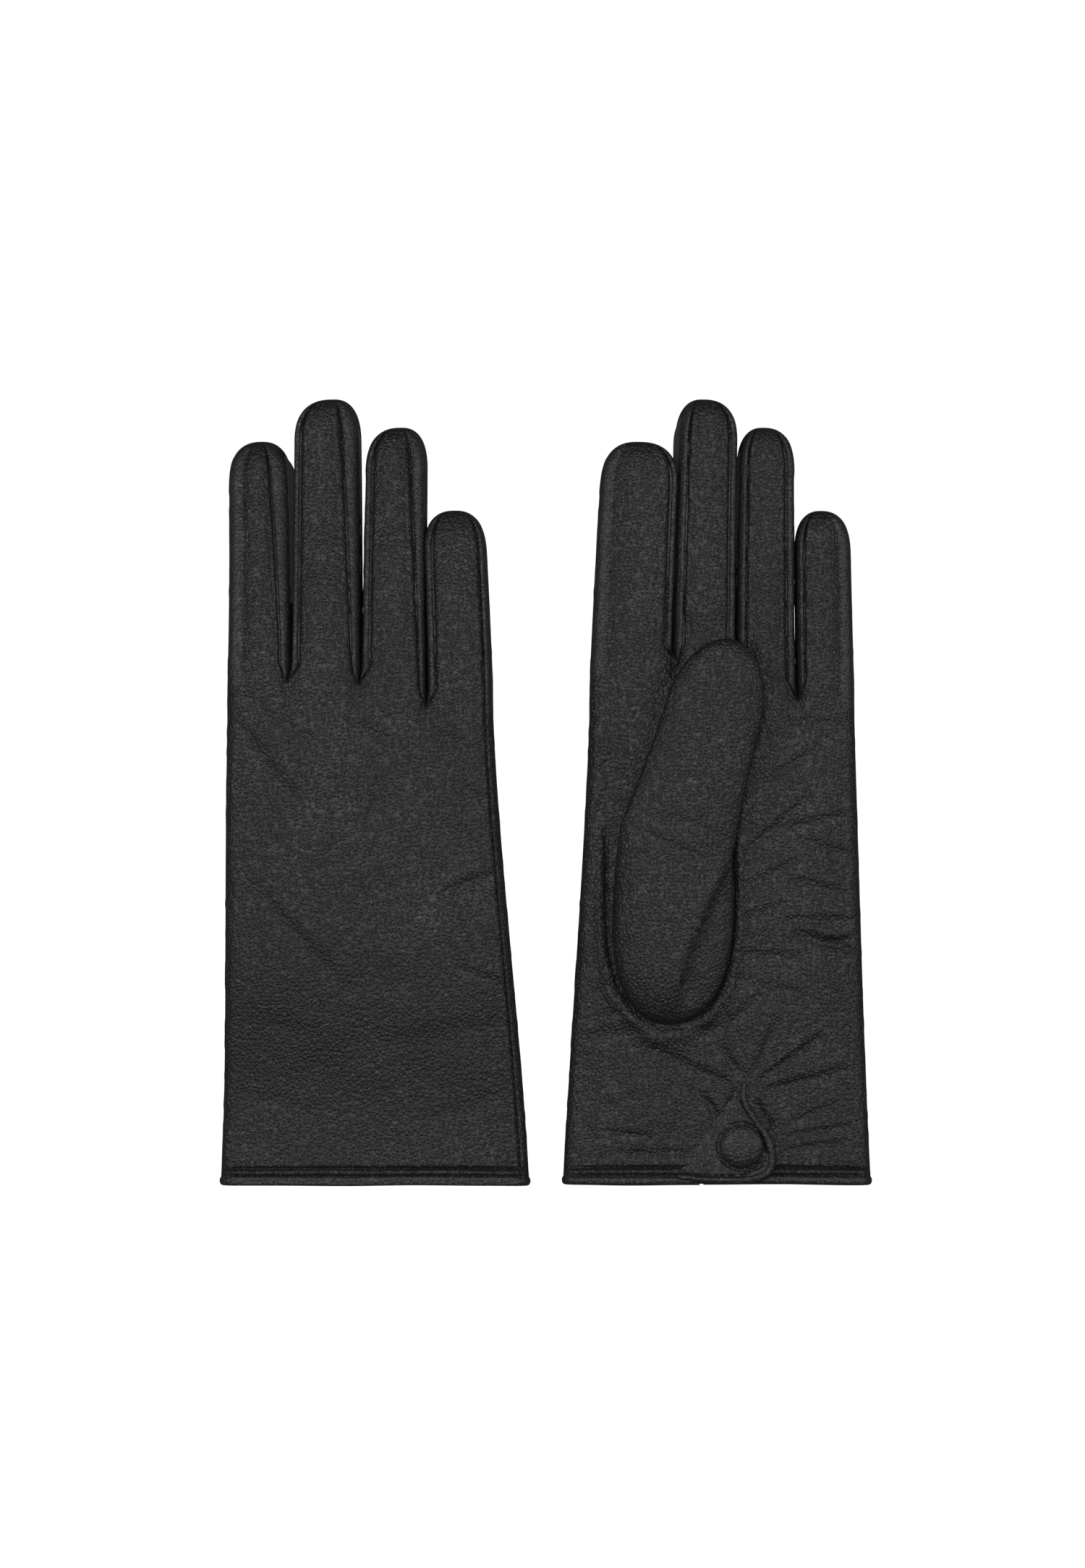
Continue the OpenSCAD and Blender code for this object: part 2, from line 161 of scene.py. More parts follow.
class Glove:
    """One glove's place and posture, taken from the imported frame."""

    def __init__(self, hand):
        self.hand = hand
        self.side = LEFT if hand == "left" else RIGHT
        low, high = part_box(f"{hand}_cuff_binding")
        self.centre = (low.x + high.x) / 2 / MM
        self.foot = low.y / MM
        self.lean = 1.6 if hand == "left" else -4.6
        joints = {j["name"]: j for j in frame["joints"]}
        self.creases = [joints[f"{hand}_{f}_bend"]["pos_m"][1] / MM - self.foot for f in FINGERS]
        self.tips = [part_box(f"{hand}_{f}_panels")[1].y / MM - self.foot for f in FINGERS]
        # how far each slit stands off the frame's straight walls where it shows
        self.slant = np.array([0, 4.3, 3.0, 1.8, 0]) * self.side
        # sideways lean of each fingertip
        self.tip_shift = (1.6, 1.2, 1.2, 0.5) if hand == "left" else (-2.6, -0.8, 1.4, -0.8)
        # where the slits end, on the side that shows and on the side below
        if hand == "left":
            self.web_top, self.web_low = np.array([162, 166, 162, 154, 152.0]), np.array([162, 160, 158, 153, 152.0])
        else:
            self.web_top, self.web_low = np.array([159, 159, 158.5, 151, 150.0]), np.array([159, 162, 160, 153, 150.0])
        # width of the corner to the left and right of each finger's panel
        self.corner_l = (5.0, 1.5, 1.5, 1.6) if hand == "left" else (5.0, 3.3, 3.2, 3.0)
        self.corner_r = (3.3, 3.2, 3.2, 4.4) if hand == "left" else (1.5, 1.5, 1.5, 2.6)

    def leaning(self, y):
        return self.lean * between(0, HAND_LEN, y)

    def droop(self, y):
        if self.side == LEFT:
            return 0 * y
        return 5.2 * (1 - between(19, 78, y)) + THUMB_T * between(162, 246, y)

    def thick(self, y):
        return mix(CUFF_T, HAND_T, between(20, 70, y))

    def place(self, x, y, z):
        """Glove coordinates in millimetres to the frame in metres. The right glove
        lies upside down, and droops from its thumb to its snap and to its tips."""
        x, y, z = np.broadcast_arrays(np.asarray(x, float), y, z)
        up = z if self.side == LEFT else PAIR_H - z - self.droop(y)
        return np.stack([x + self.leaning(y) + self.centre, y + self.foot, up], -1) * MM

    def show(self, n, y):
        """Height of the glove at n, from -1 at its under side to 1 at the side that shows."""
        t = self.thick(y)
        return t / 2 * (1 + self.side * n)


def half_width(y):
    """Half the laid width: it flares from the knuckles to the cuff, and draws in to the tips."""
    flare = 6.9 * np.clip(1 - y / 150, 0, None) ** 1.15
    return (42.2 + flare) / 42.2 * np.where(y > HAND_LEN, 1 - 0.08 * (y - HAND_LEN) / 100, 1)


# ----------------------------------------------------------------- mesh building
class Shell:
    """Collects grids of points and joins them into one mesh."""

    def __init__(self):
        self.points, self.faces, self.soft, self.mats, self.count = [], [], [], [], 0

    def add(self, grid, faces, soft=0.0, mat=0):
        flat = grid.reshape(-1, 3)
        self.points.append(flat)
        self.soft.append(np.broadcast_to(soft, grid.shape[:-1]).reshape(-1))
        self.faces.append(faces + self.count)
        self.mats.append(np.full(len(faces), mat))
        self.count += len(flat)

    def sheet(self, grid, soft=0.0, mat=0, wrap=False):
        """Four-sided faces over a grid of rows and columns; wrap joins its long edges."""
        rows, cols = grid.shape[:2]
        r, c = np.meshgrid(np.arange(rows - 1), np.arange(cols if wrap else cols - 1), indexing="ij")
        n = (c + 1) % cols
        quads = np.stack([r * cols + c, r * cols + n, (r + 1) * cols + n, (r + 1) * cols + c], -1)
        self.add(grid, quads.reshape(-1, 4), soft, mat)

    def rim(self, a, b, soft=0.0, wrap=False):
        """A strip of faces between two rows with the same number of points."""
        self.sheet(np.stack([a, b]), soft, 0, wrap)

    def make(self, name, weld=2e-6, sharp=55):
        mesh = bpy.data.meshes.new(name)
        points = np.concatenate(self.points)
        faces = np.concatenate(self.faces).astype(np.int32)
        mesh.vertices.add(len(points))
        mesh.vertices.foreach_set("co", points.astype(np.float32).ravel())
        mesh.loops.add(faces.size)
        mesh.loops.foreach_set("vertex_index", faces.ravel())
        mesh.polygons.add(len(faces))
        mesh.polygons.foreach_set("loop_start", np.arange(0, faces.size, 4, dtype=np.int32))
        mesh.polygons.foreach_set("material_index", np.concatenate(self.mats).astype(np.int32))
        # per point, how far the leather is tinted a lighter brown and its grain softened: the flesh side's own brown
        # on inner sheets, a painted sheen on the fingers' upper side walls
        mesh.attributes.new("soft", "FLOAT", "POINT").data.foreach_set(
            "value", np.concatenate(self.soft).astype(np.float32))
        mesh.update(calc_edges=True)
        bm = bmesh.new()
        bm.from_mesh(mesh)
        bmesh.ops.remove_doubles(bm, verts=bm.verts, dist=weld)
        bmesh.ops.dissolve_degenerate(bm, edges=bm.edges, dist=weld / 2)
        bmesh.ops.recalc_face_normals(bm, faces=bm.faces)
        bm.to_mesh(mesh)
        bm.free()
        mesh.shade_smooth()
        mesh.set_sharp_from_angle(angle=math.radians(sharp))
        piece = bpy.data.objects.new(name, mesh)
        bpy.context.scene.collection.objects.link(piece)
        return piece


def stitches(shell, path, spread=1.0, length=1.0, lift=0.0, mat=1):
    """Short threads along a path: at each pitch a six-sided spindle whose radius
    follows the sine of its length."""
    pitch, radius = wanted("stitch_pitch") * spread, wanted("thread_radius")
    path = np.asarray(path) / MM
    step = np.linalg.norm(np.diff(path, axis=0), axis=1)
    run = np.concatenate([[0], np.cumsum(step)])
    if run[-1] < 2 * pitch:
        return
    at = np.arange(pitch, run[-1] - pitch / 2, pitch)
    pos = np.stack([np.interp(at, run, path[:, i]) for i in range(3)], -1)
    way = np.stack([np.interp(at + 0.3, run, path[:, i]) for i in range(3)], -1) - pos
    way /= np.linalg.norm(way, axis=1, keepdims=True) + 1e-9
    up = np.cross(way, np.cross([0, 0, 1.0], way))
    up /= np.linalg.norm(up, axis=1, keepdims=True) + 1e-9
    aside = np.cross(way, up)
    t = np.linspace(0, 1, 5)
    angle = np.arange(6) * math.pi / 3
    size = radius * np.sin(math.pi * np.clip(t, 0.04, 0.96)) ** 0.6
    ring = (np.cos(angle)[None, :, None] * aside[:, None, None, :]
            + np.sin(angle)[None, :, None] * up[:, None, None, :]) * size[None, :, None, None]
    core = pos[:, None, None, :] + ((t - 0.5) * length)[None, :, None, None] * way[:, None, None, :] \
        + lift * up[:, None, None, :]
    spindles = (core + ring) * MM
    count = len(spindles)
    r, c = np.meshgrid(np.arange(4), np.arange(6), indexing="ij")
    n = (c + 1) % 6
    quads = np.stack([r * 6 + c, r * 6 + n, (r + 1) * 6 + n, (r + 1) * 6 + c], -1).reshape(-1, 4)
    caps = np.array([[0, 1, 2, 3], [0, 3, 4, 5], [24, 27, 26, 25], [24, 29, 28, 27]])
    one = np.concatenate([quads, caps])
    faces = one[None] + 30 * np.arange(count)[:, None, None]
    shell.add(spindles.reshape(-1, 3), faces.reshape(-1, 4), 0, mat)


# ------------------------------------------------------------------ leather hand
THETA = np.linspace(0, math.pi / 2, 10)
FLAT = (1 - np.cos(np.linspace(0, math.pi, 43))) / 2 * 0.45 + np.linspace(0, 1, 43) * 0.55
FLAT_LOW = np.linspace(0, 1, 15)
TIP_LEN = 14.0
SPLIT = 11.0


def groove(s):
    """A sewn seam's section at a distance s: a narrow groove beside a low rolled edge."""
    return -wanted("seam_depth") * bell(s, wanted("seam_width")) + 0.3 * bell(s - 1.2, 0.6)


def hand_relief(g, x, y):
    """Folds and wrinkles of the side that shows, in millimetres of height."""
    x = x + g.leaning(y)
    lift = 0.32 * ripple(x, y, 17, 3) + 0.19 * ripple(x + 5, y * 0.8, 7.5, 4)
    lift = lift + 0.04 * ripple(x * 1.3 + y, y - 0.4 * x, 2.6, 5)
    if g.side == LEFT:
        lines = [
            ((8.7, 33), (0, 46), 1.5, 0.9), ((9, 35), (3, 60), 1.5, 0.5), ((10.5, 33), (19, 54), 1.2, 0.9),
            ((11, 31), (34, 48), 1.3, 0.9), ((11.5, 29), (43, 37), 1.3, 0.7), ((7, 31), (-22, 43), 1.5, 0.8),
            ((5.4, 31), (3.2, 22), 1.2, 1.3), ((12.5, 27), (17.5, 17), 1.6, 1.5), ((20, 15), (44, 19), 0.8, 0.6),
            ((21, 11), (43, 14), 0.8, 0.6), ((19.5, 18), (40, 27), 0.9, 0.4), ((-5, 29), (3, 19), 1.1, 1.0),
            ((-36, 17), (-20, 15), 0.9, 0.6), ((-32, 10), (-8, 10.5), 0.9, 0.5), ((-12, 26), (-14, 14), 1.8, 0.7),
            ((-22, 50), (2, 49), 2.0, 0.8), ((2, 49), (16, 62), 1.8, 0.6), ((-30, 45), (-6, 40), 1.5, 0.5),
            ((46, 74), (24, 80), 1.6, 1.0), ((45, 84), (20, 84), 1.3, 0.8), ((45.5, 79), (33, 77), 1.0, 0.7),
            ((44.5, 92), (22, 97), 1.3, 0.5), ((44, 104), (26, 110), 1.3, 0.45), ((44, 118), (16, 112), 1.4, 0.5),
            ((4, 66), (30, 60), 1.2, 0.4), ((5, 74), (28, 72), 1.1, 0.45), ((5.5, 84), (24, 90), 1.2, 0.5),
            ((6, 94), (26, 103), 1.1, 0.5), ((7, 104), (30, 124), 1.3, 0.5), ((12, 126), (34, 140), 1.5, 0.5),
            ((-40, 60), (-30, 66), 1.3, 0.4), ((-46, 46), (-18, 50), 1.8, 0.45), ((-42, 112), (-34, 128), 1.5, 0.5),
            ((-38, 130), (-28, 146), 1.4, 0.5), ((20, 148), (40, 146), 1.3, 0.4), ((-36, 24), (-14, 30), 2.2, 0.4)]
        lift = lift + 1.1 * bell(np.hypot((x + 24) * 0.8, y - 24), 10)
        lift = lift + 0.7 * bell(np.hypot((x + 16) * 0.6, (y - 56) * 1.6), 9)
    else:
        lines = [
            ((-46, 150), (-24, 120), 2.6, 0.7), ((-40, 96), (-6, 60), 2.4, 0.6), ((4, 60), (-2, 110), 2.6, 0.6),
            ((-2, 110), (4, 150), 2.4, 0.5), ((-44, 54), (-4, 44), 2.4, 0.2), ((-4, 44), (44, 52), 2.6, 0.2),
            ((42, 100), (20, 92), 1.8, 0.5), ((41, 120), (24, 128), 1.7, 0.45), ((-12, 148), (10, 140), 1.6, 0.4),
            ((12, 146), (34, 138), 1.6, 0.4), ((-34, 150), (-14, 138), 1.7, 0.4), ((26, 70), (44, 62), 1.7, 0.4),
            ((-46, 30), (-16, 22), 2.2, 0.2), ((14, 20), (44, 30), 2.2, 0.2)]
        lift = lift + 0.5 * bell(np.hypot((x + 16) * 1.0, (y - 100) * 0.42), 18)
    for a, b, width, depth in lines:
        cut = crease(x, y, a, b, width, depth)
        above = [(end[0], end[1] + 2.2 * width) for end in (a, b)]
        lift = lift + cut * (1 + 0.3 * ripple(x, y, 5, 6)) - 0.45 * crease(x, y, *above, width, depth)
    across = np.abs(x - g.leaning(y)) / (PALM_HALF * half_width(y))
    lift = lift - 1.9 * across ** 4 * (1 - between(150, 175, y)) - 0.8 * np.clip(across - 0.2, 0, 1) ** 2
    hem = 0.8 * bell(y - HEM_LINES[1], 0.42) + 0.5 * bell(y - HEM_LINES[0], 0.4)
    return lift * between(HEM_H, 9, y) - hem + 0.38 * bell(y - 4.3, 0.8) + 0.25 * bell(y - 6.9, 0.8)


def oval_at(y):
    """The thumb's set-in oval: its left and right edges at a height y on the palm."""
    u = np.clip((y - 51.3) / 34, 0, 1)
    grow = (1 - (1 - u) ** 2.3) ** (1 / 2.3)
    middle = mix(-13.2, -15.6, ease(u)) + 0.10 * np.clip(y - 85, 0, 30) * 0.35
    return middle - 20.0 * grow, middle + 19.6 * grow


def oval_distance(x, y):
    """Signed distance, near enough, from the oval's seam: negative inside."""
    p = 2.4
    cx, cy, a, b = -15.2, 92.0, 20.0, 40.7
    rho = (np.abs((x - cx) / a) ** p + np.abs(np.minimum(y - cy, 0) / b) ** p) ** (1 / p)
    return (rho - 1) * np.where(np.abs(x - cx) / a > np.abs(np.minimum(y - cy, 0)) / b, a, b * 0.75)


def opened(g, y, web):
    """How far a slit has opened at y: zero at its end, one 7 mm beyond it."""
    return ease((y - web) / 7.0)


def strip(g, k, zone, t, part, inset=0.0):
    """One zone of finger k's strip of the glove, as a grid of points.
    part "hand" runs from the hem to the slits' ends, "base" on to the split and "end"
    to the tip, with t from 0 to 1 in each. A point is a rounded section's: its flats
    are straight with a low crown, and its corners are cos and sin to a power. The
    section leans with the slits, shrinks to the tip as a rounded curve, and is
    raised by the seams and folds."""
    if zone == "top":
        f, web = FLAT, mix(g.web_top[k], g.web_top[k + 1], FLAT)
    elif zone == "low":
        f, web = FLAT_LOW, mix(g.web_low[k], g.web_low[k + 1], FLAT_LOW)
    else:
        right = zone[1] == "r"
        e = k + 1 if right else k
        f = np.full(len(THETA), 1.0 if right else 0.0)
        share = THETA / (math.pi / 2)
        middle = (g.web_top[e] + g.web_low[e]) / 2
        web = mix(middle, g.web_top[e] if zone[0] == "t" else g.web_low[e], share)
    f, web, t = f[None, :], web[None, :], np.asarray(t)[:, None]
    split = g.creases[k] - SPLIT
    tip = g.tips[k] + (inset and -inset - 0.6)
    if part == "hand":
        y = mix(HEM_H, web, t)
    elif part == "base":
        y = mix(web, split, t)
    else:
        y = mix(split, tip, t) + 0 * web
    d = tip - y
    wide = np.where(d < TIP_LEN, (1 - (1 - np.clip(d / TIP_LEN, 0, 1)) ** 2.5) ** (1 / 2.5), 1)
    tall = np.where(d < 11, (1 - (1 - np.clip(d / 11, 0, 1)) ** 2.1) ** (1 / 2.1), 1)
    open_l = np.ones_like(y) if k == 0 else opened(g, y, web)
    open_r = np.ones_like(y) if k == 3 else opened(g, y, web)
    gap_l = 0 if k == 0 else 0.35
    gap_r = 0 if k == 3 else 0.35
    ex = PALM_EDGES
    hw = half_width(y)
    xl = ex[k] * hw + (gap_l + inset) * open_l
    xr = ex[k + 1] * hw - (gap_r + inset) * open_r
    reach = np.clip((y - HAND_LEN) / (g.tips[k] - HAND_LEN), 0, 1)
    cl = (g.corner_l[k] if zone != "low" and zone[0] != "b" else 4.0) * open_l
    wider = 3.4 * reach ** 1.4 if g.side == RIGHT and k < 3 else 0.0
    cr = (g.corner_r[k] + wider if zone != "low" and zone[0] != "b" else 4.0) * open_r
    h = g.thick(y) / 2 - inset
    if zone in ("top", "low"):
        n = 1.0 if zone == "top" else -1.0
        x = mix(xl + cl, xr - cr, f)
        push_x, push_n = 0.0 * y, np.full_like(y, n)
        zn = np.full_like(y, n)
        width = xr - cr - xl - cl
        s_l, s_r = f * width, (1 - f) * width
        crown = -1.5 * np.abs(2 * f - 1) ** 2.4 * between(150, 176, y)
        bump = crown
    else:
        c, s = corner(THETA[None, :])
        up = 1.0 if zone[0] == "t" else -1.0
        x = (xr - cr + cr * c) if right else (xl + cl - cl * c)
        zn = up * s + 0 * y
        push_x = (1 if right else -1) * np.cos(THETA)[None, :] + 0 * y
        push_n = up * np.sin(THETA)[None, :] + 0 * y
        arc = (1 - share[None, :]) * 6.5
        crown = -1.5 * between(150, 176, y) * share[None, :] ** 1.5 * (zone[0] == "t")
        s_l = s_r = arc
        opened_here = open_r if right else open_l
        between_fingers = k not in (0, 3) or right != (k == 3)
        bump = 0.35 * np.sin(math.pi * np.clip(arc / 6.5, 0, 1)) * opened_here * between_fingers + crown
    slant = g.slant[k] * (1 - f) + g.slant[k + 1] * f
    lean_n = 0.55 + 0.45 * zn
    x = x + slant * lean_n * between(118, 160, y)
    sewn_l = open_l * (k > 0) if zone == "top" or zone == "tl" else 0
    sewn_r = open_r * (k < 3) if zone == "top" or zone == "tr" else 0
    if k == 3 and g.side == RIGHT and zone in ("top", "tr"):
        sewn_r = 0.8
    if zone == "top":
        bump = bump + groove(s_l) * sewn_l + groove(s_r) * sewn_r
        # the leather sinks towards a slit's end
        for side_s, e in ((s_l, k), (s_r, k + 1)):
            if 0 < e < 4:
                sunk = 1.3 * bell(side_s, 2.2) * bell(np.minimum(y - g.web_top[e], 0), 6.0)
                bump = bump - sunk * (1 - opened(g, y, web) * 0.8)
        pucker = ripple(x * 0.6, y, 2.4, 20 + k)
        by_seams = bell(s_l, 2.2) * (k > 0) + bell(s_r, 2.2) * (k < 3)
        bump = bump + 0.26 * pucker * by_seams * between(150, 166, y)
        bump = bump + hand_relief(g, x, y) * (1 - 0.45 * reach)
        bump = bump + 0.3 * ripple(x * 0.4, y, 6.5, 30 + k) * between(160, 175, y)
        if g.side == LEFT:
            xm = x + g.leaning(y)
            away = oval_distance(xm, y)
            near = 1 - between(104, 120, y)
            bump = bump + near * (1.15 * bell(away - 2.6, 1.7) - 0.9 * bell(away, 0.7))
    elif zone != "low":
        sew = sewn_r if right else sewn_l
        bump = bump - wanted("seam_depth") * bell(arc, wanted("seam_width")) * sew
        if zone[0] == "t":
            bump = bump + 0.16 * ripple(arc * 0.5 + 9 * k, y, 3.2, 40 + k) * opened_here * (1 - share[None, :])
        if k in (0, 3) and right == (k == 3):
            bump = bump + hand_relief(g, x, y) * share[None, :] * (zone[0] == "t")
    bump = bump * np.clip(tall * 1.2, 0, 1)
    centre = (ex[k] + ex[k + 1]) / 2 * hw
    x = centre + (x + push_x * bump - centre) * wide + g.tip_shift[k] * reach ** 1.6
    z_mid = g.thick(y) / 2
    z = z_mid + g.side * (zn * h + push_n * bump) * tall
    z = np.clip(z, 0.0 if g.side == LEFT else -1.5, HAND_T + 1.2)
    return g.place(x, y, z)


def rows(part, length, fine):
    """Shares of a part's length, a step apart; the end's rows crowd towards its tip."""
    if part != "end":
        share = 8 / length if part == "hand" else 0
        cuff = np.linspace(0, share, 26)[:-1] if share and fine < 2 else []
        return np.concatenate([cuff, np.linspace(share if len(cuff) else 0, 1, max(3, int(length / fine) + 1))])
    body = np.linspace(0, (length - TIP_LEN) / length, max(3, int((length - TIP_LEN) / fine) + 1))
    s = np.linspace(0, 1, max(8, int(TIP_LEN / fine * 1.1)))[1:]
    tip = 1 - TIP_LEN / length * (1 - np.sin(math.pi / 2 * s))
    return np.concatenate([body, tip])


def lay_strip(shell, g, k, part, zones, fine, paths=None):
    """Outer and inner grids of some zones of a strip, with rims between them."""
    length = {"hand": 155, "base": g.creases[k] - SPLIT - 158, "end": g.tips[k] - g.creases[k] + SPLIT}[part]
    outer_t, inner_t = rows(part, length, fine), rows(part, length, fine * 4)
    for zone in zones:
        outer = strip(g, k, zone, outer_t, part)
        inner = strip(g, k, zone, inner_t, part, wanted("leather") + 0.2)
        # Painted sheen: the fingers' upper side walls are tinted lighter and browner, most where they face sideways;
        # the inner sheet gets the flesh side's full brown.
        painted_wall_sheen = 0.0
        if zone[0] == "t" and zone != "top" and part != "hand":
            painted_wall_sheen = (1 - THETA / (math.pi / 2))[None, :] ** 0.5 * 0.9
        shell.sheet(outer, painted_wall_sheen)
        shell.sheet(inner, 1.0)
        if part == "hand":
            shell.rim(outer[0], inner[0])
        if part == "base":
            shell.rim(outer[-1], inner[-1])
        if part == "end":
            shell.rim(outer[0], inner[0])
        if paths is not None and zone == "top":
            paths.append((outer[:, 0], outer[:, -1]))


def finger_zones(k, hand):
    """The zones that strip k has: inside the hand there are no walls between strips."""
    if not hand:
        return ("top", "low", "tl", "tr", "bl", "br")
    extra = {0: ("tl", "bl"), 3: ("tr", "br")}.get(k, ())
    return ("top", "low") + extra


def make_leather(g, look):
    """The hand's leather as one piece, and each finger's end as a piece of its own."""
    shell = Shell()
    paths = []
    for k in range(4):
        lay_strip(shell, g, k, "hand", finger_zones(k, True), 1.0)
        lay_strip(shell, g, k, "base", finger_zones(k, False), 0.7, paths)
    for k, (left_path, right_path) in enumerate(paths):
        if k > 0:
            stitches(shell, left_path[3:], lift=0.05)
        if k < 3:
            stitches(shell, right_path[3:], lift=0.05)
    for y in HEM_LINES:
        for n in (1, -1):
            x = np.linspace(-36, 36, 120) * half_width(np.array([y]))
            if n * g.side > 0:
                far = [x[x < -13.0 + (y - 2) * 0.69], x[x > 12.5]]
            else:
                far = [x]
            for part_x in far:
                relief = hand_relief(g, part_x, y + 0 * part_x) + 0.12 if n > 0 else 0 * part_x
                stitches(shell, g.place(part_x, y, g.show(n, y) + g.side * relief), spread=1.1)
    if g.side == RIGHT:
        side_path = strip(g, 3, "top", np.linspace(0.03, 1, 160), "hand")[:, -1]
        stitches(shell, side_path, lift=0.05)
        stitches(shell, strip(g, 3, "top", np.linspace(0, 1, 30), "base")[:, -1], lift=0.05)
    hand = shell.make(f"{g.hand}_hand_leather")
    dress(hand, look["leather"], look["thread"])
    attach(hand, f"{g.hand}_hand")
    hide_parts(f"{g.hand}_trank", f"{g.hand}_lower_fourchettes")
    for k, finger in enumerate(FINGERS):
        shell = Shell()
        paths = []
        lay_strip(shell, g, k, "end", finger_zones(k, False), 0.6, paths)
        left_path, right_path = paths[0]
        if k > 0:
            stitches(shell, left_path[1:-9], lift=0.05)
        if k < 3 or g.side == RIGHT:
            stitches(shell, right_path[1:-9], lift=0.05)
        piece = shell.make(f"{g.hand}_{finger}_leather")
        dress(piece, look["leather"], look["thread"])
        bend(piece)
        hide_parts(f"{g.hand}_{finger}_panels", f"{g.hand}_{finger}_fourchettes")


def bend(piece):
    """Bakes the piece's transform into its mesh."""
    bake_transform(piece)


def dress(piece, *materials):
    for material in materials:
        piece.data.materials.append(material)


# ------------------------------------------------------------------------ thumb
THUMB_AT = (-14.4, 109.3)
THUMB_LEAN = math.radians(15.8)
THUMB_LEN, BASE_LEN = 66.5, 58.0
THUMB_SPLIT = -13.0


def thumb_line(s):
    """Centre line: straight up the hand from the oval's foot, turning at the crease."""
    turn = THUMB_LEAN * ease(1 + s / 24)
    back = np.minimum(s, 0)
    x = THUMB_AT[0] + np.maximum(s, 0) * math.sin(THUMB_LEAN) + 0.02 * back
    y = THUMB_AT[1] + back + np.maximum(s, 0) * math.cos(THUMB_LEAN)
    return x, y, turn


def thumb_grid(g, s, inset=0.0, cols=72):
    """The thumb as a flattened tube: across, a superellipse's arch over a flat under
    side; along, its width follows a rounded curve at both ends."""
    s = np.asarray(s)[:, None]
    a = np.linspace(0, 2 * math.pi, cols, endpoint=False)[None, :]
    x0, y0, turn = thumb_line(s)
    foot = np.clip((s + BASE_LEN) / 34, 0, 1)
    d = THUMB_LEN - inset - s
    full = mix(19.3, 15.6, between(-18, 44, s))
    wide = np.where(s < 0, (1 - (1 - foot) ** 2.3) ** (1 / 2.3), 1) * full - inset
    tip = (1 - (1 - np.clip(d / 25, 0, 1)) ** 2.0) ** (1 / 2.0)
    wide = np.maximum(wide * tip, 0)
    high = np.where(s < 0, (1 - (1 - np.clip((s + BASE_LEN) / 26, 0, 1)) ** 2.2) ** (1 / 2.2), 1)
    high = high * (1 - (1 - np.clip(d / 15, 0, 1)) ** 2.2) ** (1 / 2.2)
    cx, sz = corner(np.abs(((a + math.pi / 2) % math.pi) - math.pi / 2), 2.6)
    cx = cx * np.sign(np.cos(a))
    sz = sz * np.sign(np.sin(a))
    w = cx * wide
    under = HAND_T + mix(-0.35, 0.35, between(-8, 4, s))
    top = HAND_T + 8.85 - inset
    mid = mix(under + 0.9, (under + top) / 2, np.clip(between(-18, 2, s), 0, 1))
    z = np.where(sz > 0, mid + (top - mid) * sz * high, mid + (mid - under - inset) * sz * high)
    x = x0 + w * np.cos(turn)
    y = y0 - w * np.sin(turn)
    if inset == 0:
        face = np.clip(sz, 0, 1) ** 2
        xm = x + g.leaning(y)
        fold_x = mix(-12.5, 4.5, np.clip((y - 56) / 46, 0, 1) ** 1.5)
        beyond = xm - fold_x
        lower = between(0.2, 2.6, beyond) * (1 - between(98, 109, y)) * between(53, 62, y)
        dz = -2.6 * lower - 2.4 * bell(beyond - 0.6, 0.8) * between(54, 64, y) * (1 - between(99, 110, y))
        dz = dz + 0.9 * bell(beyond + 2.0, 1.8) * between(54, 64, y) * (1 - between(99, 110, y))
        u = w / np.maximum(wide, 1)
        dz = dz + 0.10 * ripple(u * 3, s, 2.3, 51) * between(-30, 0, s) + 0.22 * ripple(u * 5, s, 7, 52)
        dz = dz - 0.5 * bell(s + 1.5 + 2.5 * u, 1.4) * between(-0.9, -0.2, -np.abs(u))
        dz = dz - 0.3 * bell(s - 7 + 3 * u * u, 1.2)
        z = z + dz * face * np.clip(high, 0, 1)
    z = np.minimum(z, PAIR_H - g.droop(y))
    return g.place(x, y, z)


def make_thumb(g, look):
    """The sewn base rides the hand; the tube beyond it is a separate piece, shaped to turn at the crease."""
    end = THUMB_LEN
    tip = end - 25 * (1 - np.sin(math.pi / 2 * np.linspace(0, 1, 44)))
    foot = -BASE_LEN + 30 * (1 - np.cos(math.pi / 2 * np.linspace(0, 1, 40)))
    base = np.concatenate([foot, np.arange(foot[-1] + 0.7, THUMB_SPLIT, 0.7), [THUMB_SPLIT]])
    tube = np.concatenate([np.arange(THUMB_SPLIT, end - 25.5, 0.7), tip])
    for name, s, rides_hand in (("thumb_base", base, True), ("thumb_leather", tube, False)):
        shell = Shell()
        outer = thumb_grid(g, s)
        shell.sheet(outer, 0.0, wrap=True)
        last = -1 if rides_hand else 0
        middle = np.broadcast_to(outer[last].mean(0), outer[last].shape)
        shell.sheet(np.stack([outer[last], middle]), 0.0, wrap=True)
        if rides_hand:
            y = np.linspace(53.2, 108, 110)
            left_x, right_x = oval_at(y)
            ring_x = np.concatenate([left_x[::-1], right_x]) - g.leaning(np.concatenate([y[::-1], y]))
            ring_y = np.concatenate([y[::-1], y])
            stitches(shell, g.place(ring_x, ring_y, HAND_T + 0.15), spread=1.1)
        piece = shell.make(f"{g.hand}_{name}_piece")
        dress(piece, look["leather"], look["thread"])
        if rides_hand:
            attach(piece, f"{g.hand}_hand")
        else:
            a = g.place(THUMB_AT[0] - 8 * math.sin(THUMB_LEAN), THUMB_AT[1] - 8 * math.cos(THUMB_LEAN), 15.0)
            b = g.place(THUMB_AT[0] + 8 * math.sin(THUMB_LEAN), THUMB_AT[1] + 8 * math.cos(THUMB_LEAN), 15.0)
            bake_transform(piece)
        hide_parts(f"{g.hand}_{name}")


# ---------------------------------------------------------------------- linings
def tube_pair(shell, outer, inner, capped):
    """A cloth tube's two faces, joined by a rim where it is open."""
    shell.sheet(outer, 0.0, wrap=True)
    shell.sheet(inner, 1.0, wrap=True)
    shell.rim(outer[0], inner[0], wrap=True)
    if not capped:
        shell.rim(outer[-1], inner[-1], wrap=True)


